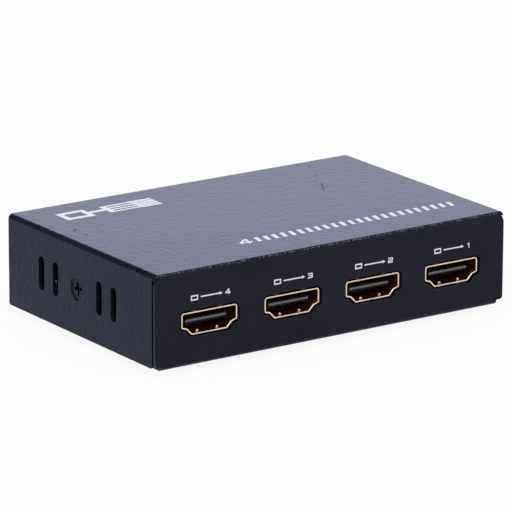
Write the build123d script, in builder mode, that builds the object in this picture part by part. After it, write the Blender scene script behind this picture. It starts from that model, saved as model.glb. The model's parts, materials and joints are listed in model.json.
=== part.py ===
from build123d import *
import os
from math import sqrt

os.makedirs("parts", exist_ok=True)

# A small video splitter box: one input socket and four output sockets on one circuit board,
# in a case of two folded steel sheets. All sizes are in millimetres. The origin is on the surface
# that the feet stand on, under the middle of the case. The output sockets look towards -Y, the
# input socket, the power jack, the switch and the lamps towards +Y.

# Case
case_width = 95.0
case_depth = 60.5
case_height = 22.0
sheet = 0.7
bend_inner_radius = 0.45

# Top cover
cover_front_setback = 0.3
seam_gap = 0.55
cover_lift = 0.62
cover_side_gap = 0.3
panel_top_gap = 0.4
flange_corner_radius = 0.6
vent_width = 2.3
vent_height = 8.0
vent_middle_height = 11.4
vent_inner_offset = 9.0
vent_pitch = 5.9
vents_each_end = 2

# Cover screws and the pressed dimples that they sit in
screw_from_front = 31.5
screw_height = 11.35
dimple_rim_radius = 2.85
dimple_throat_radius = 1.75
dimple_gap = 0.1
thread_radius = 1.45
thread_clearance = 0.05
head_recess = 0.3
head_seat_gap = 0.05
cover_screw_length = 5.0
cross_reach = 1.5
cross_width = 0.75
cross_depth = 1.0
cross_turn = 8

# Base tray
rear_panel_inset = 0.2
panel_foot_radius = 0.8
rear_corner_radius = 0.3
tab_width = 12.0
tab_rise = 4.0
tab_corner_radius = 1.5
tab_relief = 0.8
collar_wall = 0.6
collar_length = 0.8

# Feet
foot_height = 1.5
foot_radius = 4.0
foot_inset = 9.7
foot_edge_radius = 0.5

# Circuit board, its standoffs and its screws
board_thickness = 1.6
board_corner_radius = 1.0
board_side_gap = 1.1
board_end_gap = 0.65
standoff_height = 4.0
standoff_radius = 2.75
spigot_radius = 2.05
press_gap = 0.03
front_standoff_inset = 8.25
rear_standoff_inset = 6.7
rear_standoff_side_inset = 4.5
board_screw_hole_radius = 1.6
board_screw_head_radius = 2.7
board_screw_head_height = 1.8
board_screw_length = 5.0
lead_clearance = 0.15

# Sockets
outputs = 4
port_side_inset = 14.5
socket_opening_width = 14.0
socket_opening_height = 4.55
shell_wall = 0.4
socket_length = 11.5
socket_recess = 0.35
cutout_gap = 0.48
shell_lift = 0.6
shoulder_height = 1.75
knee_height = 1.4
knee_inset = 1.35
floor_inset = 2.7
shell_top_radius = 0.8
shell_bend_radius = 0.5
shell_seam = 0.12
seam_key_start = 3.4
seam_key_length = 2.2
seam_key_width = 0.9
finger_width = 1.6
finger_tip = 0.5
finger_length = 6.0
finger_slit = 0.3
floor_finger_offset = 2.6
roof_finger_offset = 3.6
bump_from_tip = 0.75
bump_radius = 0.55
leg_width = 1.6
front_leg_depth = 3.4
rear_leg_depth = 9.2
leg_drop = 0.8
insulator_gap = 0.05
insulator_back_recess = 0.3
tongue_width = 10.6
tongue_thickness = 1.1
tongue_height = 2.85
tongue_front = 1.45
tongue_root = 7.0
upper_contacts = 10
contact_pitch = 1.0
contact_width = 0.3
contact_thickness = 0.12
contact_proud = 0.04
contact_tip_gap = 0.3
contact_bend_radius = 0.35
comb_notch_width = 0.25
comb_notch_height = 0.3
tail_gap = 0.5
tail_foot = 0.8

# Power jack
jack_screw_gap = 2.38
jack_width = 9.0
jack_height = 11.0
jack_length = 14.2
jack_collar_depth = 3.4
jack_axis_height = 6.5
jack_bore_radius = 3.15
jack_bore_depth = 9.5
jack_panel_hole_radius = 4.0
jack_pin_radius = 1.0
jack_pin_recess = 1.0
jack_shank_radius = 1.3
jack_tail_width = 2.0
jack_tail_thickness = 0.5
jack_slot_width = 2.6
jack_strip_width = 2.2
jack_strip_thickness = 0.3
jack_strip_bend_radius = 0.5
jack_strip_front = 2.6
jack_strip_kink = 4.4
jack_strip_back = 9.4
jack_kink_reach = 0.25
jack_strip_sag = 1.4
jack_shunt_depth = 6.0
jack_shunt_rise = 3.0
rear_parts_gap = 0.25
terminal_drop = 1.0

# Power switch
switch_width = 8.6
switch_height = 5.0
switch_depth = 3.7
switch_wall = 0.3
switch_travel = 2.0
slider_gap = 0.15
slider_end_gap = 0.3
slider_depth = 1.2
lever_width = 1.5
lever_height = 1.5
lever_proud = 1.0
lever_edge_cut = 0.2
lever_slot_gap = 0.4
switch_base_front = 2.5
switch_base_proud = 0.4
switch_base_gap = 0.05
switch_lug_width = 1.2
switch_pin_width = 0.6
switch_pin_thickness = 0.4
switch_pin_reach = 1.2
switch_pin_bend_radius = 0.8
switch_pad_width = 1.2
switch_pad_height = 1.8
switch_pad_thickness = 0.15
wiper_thickness = 0.15
wiper_width = 1.2
wiper_flat_width = 0.8
wiper_gap = 0.1
wiper_bend_radius = 0.3

# Lamps
output_lamps = 4
lamp_x_share = 0.3
lamp_screw_gap = 1.035
lamp_height = 5.0
lamp_radius = 1.5
lamp_length = 4.4
lamp_flange_radius = 1.8
lamp_flange_depth = 1.0
lamp_proud = 0.5
lamp_hole_gap = 0.15
lamp_lead_pitch = 2.54
lamp_lead_size = 0.5
lamp_lead_reach = 2.2
lamp_lead_radius = 0.8

# Places on the board, as shares of its half width and half depth from its middle
splitter_place_share = (0.0, -0.04)
controller_place_share = (0.5, 0.03)
memory_place_shares = ((0.76, 0.16), (0.76, -0.16))
regulator_place_shares = ((-0.45, 0.22), (-0.45, -0.16))
inductor_place_share = (-0.7, 0.26)
can_place_shares = ((-0.7, -0.02), (-0.87, 0.22))
diode_place_share = (-0.87, -0.12)
crystal_place_share = (0.4, 0.4)

# Chips and their leads
chip_stand = 0.1
chip_dot_radius = 0.5
chip_dot_depth = 0.1
chip_dot_inset = 1.1
chip_lead_thickness = 0.15
chip_lead_shoulder = 0.35
chip_lead_slope = 0.25
chip_lead_foot = 0.5
splitter_size = 14.0
splitter_thickness = 1.4
splitter_leads_a_side = 16
splitter_lead_pitch = 0.8
splitter_lead_width = 0.35
controller_width = 4.4
controller_length = 6.5
controller_thickness = 1.0
controller_leads_a_side = 10
controller_lead_pitch = 0.6
controller_lead_width = 0.25
memory_width = 3.9
memory_length = 4.9
memory_thickness = 1.5
memory_leads_a_side = 4
memory_lead_pitch = 1.1
memory_lead_width = 0.4
regulator_width = 6.5
regulator_length = 3.5
regulator_thickness = 1.6
regulator_pins = 3
regulator_pin_pitch = 2.3
regulator_pin_width = 0.7
regulator_tab_width = 3.0

# Heat sink on the splitter chip
pad_thickness = 0.3
sink_base = 1.5
sink_height = 5.0
sink_fins = 6
sink_fin_thickness = 1.0

# Power parts, crystal and small chips
inductor_size = 6.0
inductor_height = 3.0
inductor_corner_radius = 1.5
inductor_core_radius = 2.2
inductor_core_gap = 0.25
inductor_floor = 0.5
can_radius = 3.15
can_height = 5.2
can_edge_radius = 0.4
can_groove_height = 1.6
can_groove_width = 0.5
can_groove_depth = 0.25
can_base_size = 6.6
can_base_height = 0.8
can_base_chamfer = 1.4
diode_length = 4.3
diode_width = 2.6
diode_height = 2.1
diode_strap_width = 1.4
diode_strap_thickness = 0.2
crystal_length = 11.0
crystal_width = 4.6
crystal_height = 3.5
crystal_rim = 0.4
crystal_rim_height = 0.5
crystal_edge_radius = 0.5
crystal_lead_pitch = 4.88
crystal_lead_radius = 0.22
small_chip_length = 1.6
small_chip_width = 0.8
ceramic_height = 0.8
ceramic_column_offset = 11.2
ceramic_pitch = 3.2
ceramics_a_column = 6
resistor_height = 0.45
resistors_a_port = 4
resistor_pitch = 1.9
resistor_row_gap = 4.2
surge_length = 2.5
surge_width = 1.0
surge_height = 0.5
surge_pitch = 5.2
surge_row_gap = 1.6

# How far a cut runs past the faces that it must clear
overrun = 1.0

# Heights and planes that several pieces share
half_width = case_width / 2
front_y = -case_depth / 2
back_y = case_depth / 2
base_z = foot_height
top_z = base_z + case_height
bend_outer_radius = bend_inner_radius + sheet
bend_start_z = top_z - bend_outer_radius
cover_bottom_z = base_z + cover_lift
flange_front_y = front_y + sheet + seam_gap
rear_face_y = back_y - rear_panel_inset
panel_top_z = top_z - sheet - panel_top_gap
panel_bottom_z = base_z + bend_outer_radius
rear_half_width = half_width - sheet - cover_side_gap
screw_y = front_y + screw_from_front
screw_z = base_z + screw_height
screw_axis = Axis((0, screw_y, screw_z), (1, 0, 0))
dimple_depth = dimple_rim_radius - dimple_throat_radius
dimple_back = dimple_depth + sheet / sqrt(2)
tray_half_width = half_width - dimple_back - dimple_gap
tapped_radius = thread_radius + thread_clearance
board_half_width = tray_half_width - sheet - board_side_gap
board_front_y = front_y + sheet + board_end_gap
board_back_y = rear_face_y - sheet - board_end_gap
board_mid_y = (board_front_y + board_back_y) / 2
board_half_depth = (board_back_y - board_front_y) / 2
board_bottom_z = base_z + sheet + standoff_height
board_top_z = board_bottom_z + board_thickness
through_board = board_thickness + terminal_drop
socket_floor_z = board_top_z + shell_lift
shell_half_width = socket_opening_width / 2 + shell_wall
shell_height = socket_opening_height + 2 * shell_wall
leg_x = shell_half_width - shell_wall / 2
port_pitch = (case_width - 2 * port_side_inset) / (outputs - 1)
tail_depth = socket_length + tail_gap
tail_end = tail_depth + tail_foot
rear_parts_y = rear_face_y - sheet - rear_parts_gap
terminal_row = switch_depth + switch_base_proud + switch_pin_reach
slider_x = -switch_travel / 2
slider_back = switch_wall + slider_gap + slider_depth
lamp_z = board_top_z + lamp_height
lamp_tip_y = rear_face_y + lamp_proud
lamp_flange_end = lamp_length + lamp_flange_depth
lamp_bend = lamp_flange_end + lamp_lead_reach
sink_bottom_z = board_top_z + chip_stand + splitter_thickness + pad_thickness


def mouth_at(x, y, z, facing):
    """Plane across an opening: y is up and z runs inwards. It faces +Y for 1 and -Y for -1."""
    return Plane((x, y, z), x_dir=(facing, 0, 0), z_dir=(0, -facing, 0))


def side_of(mouth):
    """Upright plane into an opening: x is the depth and y is up."""
    return Plane(mouth.origin, x_dir=mouth.z_dir, z_dir=-mouth.x_dir)


def plan_of(mouth):
    """Level plane into an opening: y is the depth and z is up."""
    return Plane(mouth.origin, x_dir=-mouth.x_dir, z_dir=mouth.y_dir)


def behind(mouth, across, depth):
    """The place at some distance across and into an opening, seen from above."""
    place = plan_of(mouth).from_local_coords((across, depth, 0))
    return (place.X, place.Y)


def on_board(share):
    """The place at these shares of the board's half width and half depth."""
    return (share[0] * board_half_width, board_mid_y + share[1] * board_half_depth)


def row(count, pitch):
    """Places of equal pitch, centred on zero."""
    return [(index - (count - 1) / 2) * pitch for index in range(count)]


def bent_strip(plane, points, thickness, width, radius, side):
    """A strip whose one skin follows the points on the plane."""
    with BuildPart() as strip:
        with BuildSketch(plane):
            with BuildLine():
                FilletPolyline(*points, radius=radius)
                offset(amount=thickness, side=side)
            make_face()
        extrude(amount=width / 2, both=True)
    return strip.part


# Mouths and places that several pieces share

port_xs = row(outputs, port_pitch)
output_mouths = [mouth_at(x, front_y + socket_recess, socket_floor_z, -1) for x in port_xs]
input_mouth = mouth_at(0, rear_face_y - socket_recess, socket_floor_z, 1)
socket_mouths = [*output_mouths, input_mouth]
front_standoff = (port_pitch, front_y + front_standoff_inset)
rear_standoff = (board_half_width - rear_standoff_side_inset, board_back_y - rear_standoff_inset)
standoff_places = [(side * x, y) for side in (-1, 1) for x, y in (front_standoff, rear_standoff)]
rear_screw_edge = rear_standoff[0] - board_screw_head_radius
jack_x = jack_width / 2 + jack_screw_gap - rear_screw_edge
switch_x = (jack_x + jack_width / 2 - shell_half_width) / 2
lamp_lead_reach_x = (lamp_lead_pitch + lamp_lead_size) / 2
first_lamp_x = lamp_x_share * half_width
last_lamp_x = rear_screw_edge - lamp_screw_gap - lamp_lead_reach_x
lamp_pitch = (last_lamp_x - first_lamp_x) / output_lamps
jack_mouth = mouth_at(jack_x, rear_parts_y, board_top_z + jack_axis_height, 1)
switch_mouth = mouth_at(switch_x, rear_parts_y, board_top_z + switch_height / 2, 1)
lamp_xs = [first_lamp_x + index * lamp_pitch for index in range(output_lamps + 1)]
lamp_mouths = [mouth_at(x, lamp_tip_y, lamp_z, 1) for x in lamp_xs]
foot_grid = (case_width - 2 * foot_inset, case_depth - 2 * foot_inset, 2, 2)
vent_places = [
    (screw_y + end * (vent_inner_offset + index * vent_pitch), base_z + vent_middle_height)
    for end in (-1, 1)
    for index in range(vents_each_end)
]


def socket_outline(mouth, grow):
    """A socket's outline across its mouth, grown from the shell's outer skin."""
    right = [
        (shell_half_width, shell_height),
        (shell_half_width, shoulder_height),
        (shell_half_width - knee_inset, knee_height),
        (shell_half_width - floor_inset, 0),
    ]
    left = [(-x, y) for x, y in reversed(right)]
    radii = [shell_top_radius] + [shell_bend_radius] * 6 + [shell_top_radius]
    with BuildSketch(mouth) as outline:
        with BuildLine():
            FilletPolyline(*right, *left, radius=radii, close=True)
        make_face()
        if grow:
            offset(amount=grow)
    return outline.sketch


def dimple_point(side, depth, radius):
    """A point of the section through a screw, by depth from the flange and by radius."""
    return (side * (half_width - depth), screw_z + radius)


# Top cover: the top and two flanges, folded from one sheet

with BuildPart() as top_cover:
    with BuildSketch(Plane.XZ.offset(-back_y)):
        with BuildLine():
            FilletPolyline(
                (-half_width, cover_bottom_z),
                (-half_width, top_z),
                (half_width, top_z),
                (half_width, cover_bottom_z),
                radius=bend_outer_radius,
            )
            offset(amount=sheet, side=Side.RIGHT)
        make_face()
    extrude(amount=case_depth - cover_front_setback)
    # The flanges end behind the output panel. The top reaches over that panel's upper edge.
    with BuildSketch(Plane.YZ):
        with Locations((flange_front_y, bend_start_z)):
            Rectangle(
                seam_gap + sheet + overrun,
                bend_start_z - cover_bottom_z + overrun,
                align=(Align.MAX, Align.MAX),
            )
    extrude(amount=half_width + overrun, both=True, mode=Mode.SUBTRACT)
    fillet(top_cover.edges().filter_by(Axis.X).group_by(Axis.Z)[0], flange_corner_radius)
    with BuildSketch(Plane.YZ):
        with Locations(*vent_places):
            SlotOverall(vent_height, vent_width, rotation=90)
    extrude(amount=half_width + overrun, both=True, mode=Mode.SUBTRACT)
    # Each screw sits in a dimple that is pressed inwards at 45 degrees.
    for side in (-1, 1):
        with BuildSketch(Plane.XZ.offset(-screw_y)):
            with BuildLine():
                Polyline(
                    dimple_point(side, 0, 0),
                    dimple_point(side, 0, dimple_rim_radius),
                    dimple_point(side, sheet, dimple_rim_radius - sheet),
                    dimple_point(side, sheet, 0),
                    close=True,
                )
            make_face()
        revolve(axis=screw_axis, mode=Mode.SUBTRACT)
        with BuildSketch(Plane.XZ.offset(-screw_y)):
            with BuildLine():
                Polyline(
                    dimple_point(side, sheet, dimple_rim_radius - sheet),
                    dimple_point(side, sheet, dimple_rim_radius + sheet * (sqrt(2) - 1)),
                    dimple_point(side, dimple_back, dimple_throat_radius + sheet / sqrt(2)),
                    dimple_point(side, dimple_depth, dimple_throat_radius),
                    close=True,
                )
            make_face()
        revolve(axis=screw_axis)

# Cover screws: one flat head with a cross recess on each side

head_radius = dimple_rim_radius - head_recess - head_seat_gap
with BuildPart() as cover_screws:
    for side in (-1, 1):
        with BuildSketch(Plane.XZ.offset(-screw_y)):
            with BuildLine():
                Polyline(
                    dimple_point(side, head_recess, 0),
                    dimple_point(side, head_recess, head_radius),
                    dimple_point(side, head_recess + head_radius - thread_radius, thread_radius),
                    dimple_point(side, head_recess + cover_screw_length, thread_radius),
                    dimple_point(side, head_recess + cover_screw_length, 0),
                    close=True,
                )
            make_face()
        revolve(axis=screw_axis)
        head_x, head_z = dimple_point(side, head_recess, 0)
        with BuildSketch(Plane((head_x, screw_y, head_z), x_dir=(0, 1, 0), z_dir=(side, 0, 0))):
            Rectangle(2 * cross_reach, cross_width, rotation=cross_turn)
            Rectangle(cross_width, 2 * cross_reach, rotation=cross_turn)
        extrude(amount=-cross_depth, mode=Mode.SUBTRACT)

# Base tray: floor, output panel, rear panel and two side tabs, folded from one sheet


def side_tab(side):
    """A tab that is bent up at one side, with a tapped collar for the cover screw."""
    edge = side * tray_half_width
    with BuildPart() as tab:
        with BuildSketch(Plane.XZ.offset(-screw_y - tab_width / 2)):
            with BuildLine():
                FilletPolyline(
                    (edge - side * 2 * bend_outer_radius, base_z),
                    (edge, base_z),
                    (edge, screw_z + tab_rise),
                    radius=bend_outer_radius,
                )
                offset(amount=sheet, side=Side.LEFT if side > 0 else Side.RIGHT)
            make_face()
        extrude(amount=tab_width)
        fillet(tab.edges().filter_by(Axis.X).group_by(Axis.Z)[-1], tab_corner_radius)
        tab_face = Plane((edge, screw_y, screw_z), x_dir=(0, 1, 0), z_dir=(-side, 0, 0))
        with BuildSketch(tab_face.offset(sheet)):
            Circle(tapped_radius + collar_wall)
        extrude(amount=collar_length)
        with BuildSketch(tab_face):
            Circle(tapped_radius)
        extrude(amount=sheet + collar_length, mode=Mode.SUBTRACT)
    return tab.part


with BuildPart() as base_tray:
    with BuildSketch(Plane.YZ):
        with BuildLine():
            FilletPolyline(
                (front_y, panel_bottom_z + panel_foot_radius),
                (front_y, base_z),
                (rear_face_y, base_z),
                (rear_face_y, panel_bottom_z + panel_foot_radius),
                radius=bend_outer_radius,
            )
            offset(amount=sheet, side=Side.LEFT)
        make_face()
    extrude(amount=tray_half_width, both=True)
    # The output panel is as wide as the case. The rear panel fits between the cover's flanges.
    with BuildSketch(Plane.XZ.offset(-front_y)) as front_panel:
        with Locations((0, panel_bottom_z)):
            Rectangle(case_width, panel_top_z - panel_bottom_z, align=(Align.CENTER, Align.MIN))
        fillet(front_panel.vertices().group_by(Axis.Y)[-1], bend_outer_radius + panel_top_gap)
        fillet(front_panel.vertices().group_by(Axis.Y)[0], panel_foot_radius)
    extrude(amount=-sheet)
    with BuildSketch(Plane.XZ.offset(-rear_face_y)) as rear_panel:
        with Locations((0, panel_bottom_z)):
            Rectangle(
                2 * rear_half_width, panel_top_z - panel_bottom_z, align=(Align.CENTER, Align.MIN)
            )
        fillet(rear_panel.vertices(), rear_corner_radius)
    extrude(amount=sheet)
    # The floor is cut back beside each tab, where the tab bends up.
    for side in (-1, 1):
        with BuildSketch(Plane.XY.offset(base_z)):
            with Locations((side * tray_half_width, screw_y)):
                Rectangle(2 * bend_outer_radius, tab_width + 2 * tab_relief)
        extrude(amount=sheet, mode=Mode.SUBTRACT)
        add(side_tab(side))
    for mouth in socket_mouths:
        opening = socket_outline(mouth.offset(-socket_recess), cutout_gap)
        extrude(opening, amount=sheet, mode=Mode.SUBTRACT)
    with BuildSketch(jack_mouth.offset(-rear_parts_gap - sheet)):
        Circle(jack_panel_hole_radius)
    extrude(amount=sheet, mode=Mode.SUBTRACT)
    with BuildSketch(switch_mouth.offset(-rear_parts_gap - sheet)):
        Rectangle(
            lever_width + switch_travel + 2 * lever_slot_gap, lever_height + 2 * lever_slot_gap
        )
    extrude(amount=sheet, mode=Mode.SUBTRACT)
    for mouth in lamp_mouths:
        with BuildSketch(mouth.offset(lamp_proud)):
            Circle(lamp_radius + lamp_hole_gap)
        extrude(amount=sheet, mode=Mode.SUBTRACT)
    with BuildSketch(Plane.XY.offset(base_z)):
        with Locations(*standoff_places):
            Circle(spigot_radius + press_gap)
    extrude(amount=sheet, mode=Mode.SUBTRACT)

# Feet: four rubber discs stuck under the tray

with BuildPart() as rubber_feet:
    with BuildSketch():
        with GridLocations(*foot_grid):
            Circle(foot_radius)
    extrude(amount=foot_height)
    fillet(rubber_feet.edges().group_by(Axis.Z)[0], foot_edge_radius)

# Standoffs: pressed into the floor, with blind tapped holes

with BuildPart() as board_standoffs:
    with BuildSketch(Plane.XY.offset(base_z)):
        with Locations(*standoff_places):
            Circle(spigot_radius)
    extrude(amount=sheet)
    with BuildSketch(Plane.XY.offset(base_z + sheet)):
        with Locations(*standoff_places):
            RegularPolygon(standoff_radius, 6)
            Circle(tapped_radius, mode=Mode.SUBTRACT)
    extrude(amount=standoff_height)

# Board screws: pan heads with a cross recess

with BuildPart() as board_screws:
    with BuildSketch(Plane.XY.offset(board_top_z)):
        with Locations(*standoff_places):
            Circle(board_screw_head_radius)
    extrude(amount=board_screw_head_height)
    fillet(board_screws.edges().group_by(Axis.Z)[-1], board_screw_head_height / 2)
    with BuildSketch(Plane.XY.offset(board_top_z)):
        with Locations(*standoff_places):
            Circle(thread_radius)
    extrude(amount=-board_screw_length)
    with BuildSketch(Plane.XY.offset(board_top_z + board_screw_head_height)):
        with Locations(*standoff_places):
            Rectangle(2 * cross_reach, cross_width)
            Rectangle(cross_width, 2 * cross_reach)
    extrude(amount=-cross_depth, mode=Mode.SUBTRACT)

# Circuit board: strips and round leads pass through it, each with the same clearance

leg_slots = [
    (behind(mouth, side * leg_x, depth), shell_wall, leg_width)
    for mouth in socket_mouths
    for side in (-1, 1)
    for depth in (front_leg_depth, rear_leg_depth)
]
jack_tail_place = behind(jack_mouth, 0, jack_length + jack_tail_thickness / 2)
jack_spring_place = behind(jack_mouth, 0, jack_strip_back - jack_strip_thickness / 2)
jack_shunt_place = behind(jack_mouth, jack_width / 2 - jack_strip_thickness / 2, jack_shunt_depth)
jack_slots = [
    (jack_tail_place, jack_tail_width, jack_tail_thickness),
    (jack_spring_place, jack_strip_width, jack_strip_thickness),
    (jack_shunt_place, jack_strip_thickness, jack_strip_width),
]
lug_slots = [
    (behind(switch_mouth, x, switch_depth / 2), switch_wall, switch_lug_width)
    for x in row(2, switch_width - switch_wall)
]
terminal_depth = terminal_row - switch_pin_thickness / 2
terminal_slots = [
    (behind(switch_mouth, x, terminal_depth), switch_pin_width, switch_pin_thickness)
    for x in row(3, switch_travel)
]
lamp_lead_slots = [
    (behind(mouth, x, lamp_bend - lamp_lead_size / 2), lamp_lead_size, lamp_lead_size)
    for mouth in lamp_mouths
    for x in row(2, lamp_lead_pitch)
]
crystal_x, crystal_y = on_board(crystal_place_share)
crystal_lead_slots = [
    ((crystal_x + x, crystal_y), 2 * crystal_lead_radius, 2 * crystal_lead_radius)
    for x in row(2, crystal_lead_pitch)
]
switch_slots = lug_slots + terminal_slots
board_slots = leg_slots + jack_slots + switch_slots + lamp_lead_slots + crystal_lead_slots
with BuildPart() as circuit_board:
    with BuildSketch(Plane.XY.offset(board_bottom_z)):
        with Locations((0, board_mid_y)):
            RectangleRounded(2 * board_half_width, 2 * board_half_depth, board_corner_radius)
        with Locations(*standoff_places):
            Circle(board_screw_hole_radius, mode=Mode.SUBTRACT)
        for place, width, depth in board_slots:
            with Locations(place):
                Rectangle(width + 2 * lead_clearance, depth + 2 * lead_clearance, mode=Mode.SUBTRACT)
    extrude(amount=board_thickness)

# Sockets: a stamped shell, a moulded insulator with a tongue, and two rows of contacts


def finger_slit_at(mouth, across, height):
    """The slit round three sides of a spring finger, through the wall at a height."""
    with BuildPart() as slit:
        with BuildSketch(plan_of(mouth).offset(height)):
            with BuildLine():
                Polyline(
                    (across - finger_width / 2, finger_tip + finger_length),
                    (across - finger_width / 2, finger_tip),
                    (across + finger_width / 2, finger_tip),
                    (across + finger_width / 2, finger_tip + finger_length),
                )
            trace(line_width=finger_slit)
        extrude(amount=shell_wall)
    return slit.part


def socket_shell(mouth):
    """A tube with a keyed seam in its floor, spring fingers with bumps, and four legs."""
    roof = shell_height - shell_wall
    key_end = seam_key_start + seam_key_length
    leg_bottom = board_bottom_z - leg_drop
    leg_top = socket_floor_z + shell_height / 2
    with BuildPart() as shell:
        extrude(socket_outline(mouth, 0), amount=socket_length)
        extrude(socket_outline(mouth, -shell_wall), amount=socket_length, mode=Mode.SUBTRACT)
        with BuildSketch(plan_of(mouth)):
            with BuildLine():
                Polyline(
                    (0, -overrun),
                    (0, seam_key_start),
                    (seam_key_width / 2, seam_key_start),
                    (seam_key_width, key_end),
                    (0, key_end),
                    (0, socket_length + overrun),
                )
            trace(line_width=shell_seam)
        extrude(amount=shell_wall, mode=Mode.SUBTRACT)
        for height, finger_offset, lowest, highest in (
            (0, floor_finger_offset, 0, 90),
            (roof, roof_finger_offset, -90, 0),
        ):
            for across in (-finger_offset, finger_offset):
                add(finger_slit_at(mouth, across, height), mode=Mode.SUBTRACT)
                x, y = behind(mouth, across, finger_tip + bump_from_tip)
                with Locations((x, y, socket_floor_z + height + shell_wall / 2)):
                    Sphere(bump_radius, arc_size1=lowest, arc_size2=highest)
        for across in (-leg_x, leg_x):
            for depth in (front_leg_depth, rear_leg_depth):
                with Locations((*behind(mouth, across, depth), leg_bottom)):
                    Box(
                        shell_wall,
                        leg_width,
                        leg_top - leg_bottom,
                        align=(Align.CENTER, Align.CENTER, Align.MIN),
                    )
    return shell


def socket_contacts(mouth):
    """One more contact on the tongue than under it, with tails down to the board behind."""
    tip = tongue_front + contact_tip_gap
    upper_skin = tongue_height + tongue_thickness / 2 + contact_proud
    lower_skin = tongue_height - tongue_thickness / 2 - contact_proud
    upper_foot = contact_thickness - shell_lift
    with BuildPart() as contacts:
        for count, skin, foot, side in (
            (upper_contacts, upper_skin, upper_foot, Side.RIGHT),
            (upper_contacts - 1, lower_skin, -shell_lift, Side.LEFT),
        ):
            path = [(tip, skin), (tail_depth, skin), (tail_depth, foot), (tail_end, foot)]
            strip = bent_strip(
                side_of(mouth), path, contact_thickness, contact_width, contact_bend_radius, side
            )
            with GridLocations(contact_pitch, 0, count, 1):
                add(strip)
    return contacts


def socket_insulator(mouth, contacts):
    """A block at the back with a tongue that carries the contacts, combed along its front."""
    with BuildPart() as insulator:
        block = socket_outline(mouth.offset(tongue_root), -shell_wall - insulator_gap)
        extrude(block, amount=socket_length - insulator_back_recess - tongue_root)
        with BuildSketch(mouth.offset(tongue_front)):
            with Locations((0, tongue_height)):
                Rectangle(tongue_width, tongue_thickness)
            with Locations((0, tongue_height - tongue_thickness / 2)):
                with GridLocations(contact_pitch / 2, 0, 2 * upper_contacts - 1, 1):
                    Rectangle(
                        comb_notch_width,
                        comb_notch_height,
                        align=(Align.CENTER, Align.MIN),
                        mode=Mode.SUBTRACT,
                    )
        extrude(amount=contact_tip_gap)
        with BuildSketch(mouth.offset(tongue_front + contact_tip_gap)):
            with Locations((0, tongue_height)):
                Rectangle(tongue_width, tongue_thickness)
        extrude(amount=tongue_root - tongue_front - contact_tip_gap)
        add(contacts.part, mode=Mode.SUBTRACT)
    return insulator


# Power jack: moulded body, centre pin, leaf spring and shunt

jack_terminal_end = -jack_axis_height - through_board
with BuildPart() as dc_jack_body:
    with BuildSketch(jack_mouth):
        with Locations((0, -jack_axis_height)):
            Rectangle(jack_width, jack_height, align=(Align.CENTER, Align.MIN))
    extrude(amount=jack_collar_depth)
    with BuildSketch(jack_mouth):
        with Locations((0, -jack_axis_height)):
            Rectangle(jack_width, jack_axis_height, align=(Align.CENTER, Align.MIN))
        Circle(jack_width / 2)
    extrude(amount=jack_length)
    with BuildSketch(jack_mouth):
        Circle(jack_bore_radius)
    extrude(amount=jack_bore_depth, mode=Mode.SUBTRACT)
    with BuildSketch(jack_mouth.offset(jack_bore_depth)):
        Circle(jack_shank_radius + press_gap)
    extrude(amount=jack_length - jack_bore_depth, mode=Mode.SUBTRACT)
    # A slot under the bore holds the leaf spring, and a groove in one side the shunt.
    with BuildSketch(jack_mouth.offset(jack_strip_front - jack_strip_thickness)):
        with Locations((0, -jack_axis_height)):
            Rectangle(
                jack_slot_width,
                jack_axis_height - 2 * jack_pin_radius,
                align=(Align.CENTER, Align.MIN),
            )
    extrude(amount=jack_strip_back - jack_strip_front + 2 * jack_strip_thickness, mode=Mode.SUBTRACT)
    with BuildSketch(jack_mouth.offset(jack_shunt_depth - jack_slot_width / 2)):
        with Locations((-jack_width / 2, -jack_axis_height)):
            Rectangle(
                2 * jack_strip_thickness,
                jack_shunt_rise + jack_strip_thickness,
                align=(Align.CENTER, Align.MIN),
            )
    extrude(amount=jack_slot_width, mode=Mode.SUBTRACT)

with BuildPart() as dc_jack_pin:
    with BuildSketch(jack_mouth.offset(jack_pin_recess)):
        Circle(jack_pin_radius)
    extrude(amount=jack_bore_depth - jack_pin_recess)
    fillet(dc_jack_pin.edges().group_by(Axis.Y)[-1], jack_pin_radius / 2)
    with BuildSketch(jack_mouth.offset(jack_bore_depth)):
        Circle(jack_shank_radius)
    extrude(amount=jack_length - jack_bore_depth)
    with BuildSketch(jack_mouth.offset(jack_length)):
        with Locations((0, jack_terminal_end)):
            Rectangle(
                jack_tail_width,
                jack_shank_radius - jack_terminal_end,
                align=(Align.CENTER, Align.MIN),
            )
    extrude(amount=jack_tail_thickness)

kink_height = -jack_bore_radius + jack_kink_reach
sag_height = -jack_bore_radius - jack_strip_sag
spring_path = [
    (jack_strip_front, kink_height - jack_strip_sag / 2),
    (jack_strip_kink, kink_height),
    ((jack_strip_kink + jack_strip_back) / 2, sag_height),
    (jack_strip_back, sag_height),
    (jack_strip_back, jack_terminal_end),
]
spring_strip = bent_strip(
    side_of(jack_mouth),
    spring_path,
    jack_strip_thickness,
    jack_strip_width,
    jack_strip_bend_radius,
    Side.RIGHT,
)
with BuildPart() as dc_jack_spring:
    add(spring_strip)

with BuildPart() as dc_jack_shunt:
    with BuildSketch(jack_mouth.offset(jack_shunt_depth - jack_strip_width / 2)):
        with Locations((-jack_width / 2, jack_terminal_end)):
            Rectangle(
                jack_strip_thickness,
                jack_shunt_rise - jack_axis_height - jack_terminal_end,
                align=(Align.MIN, Align.MIN),
            )
    extrude(amount=jack_strip_width)

# Power switch: bent frame, base with terminals, and a slider with its lever and wiper

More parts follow.
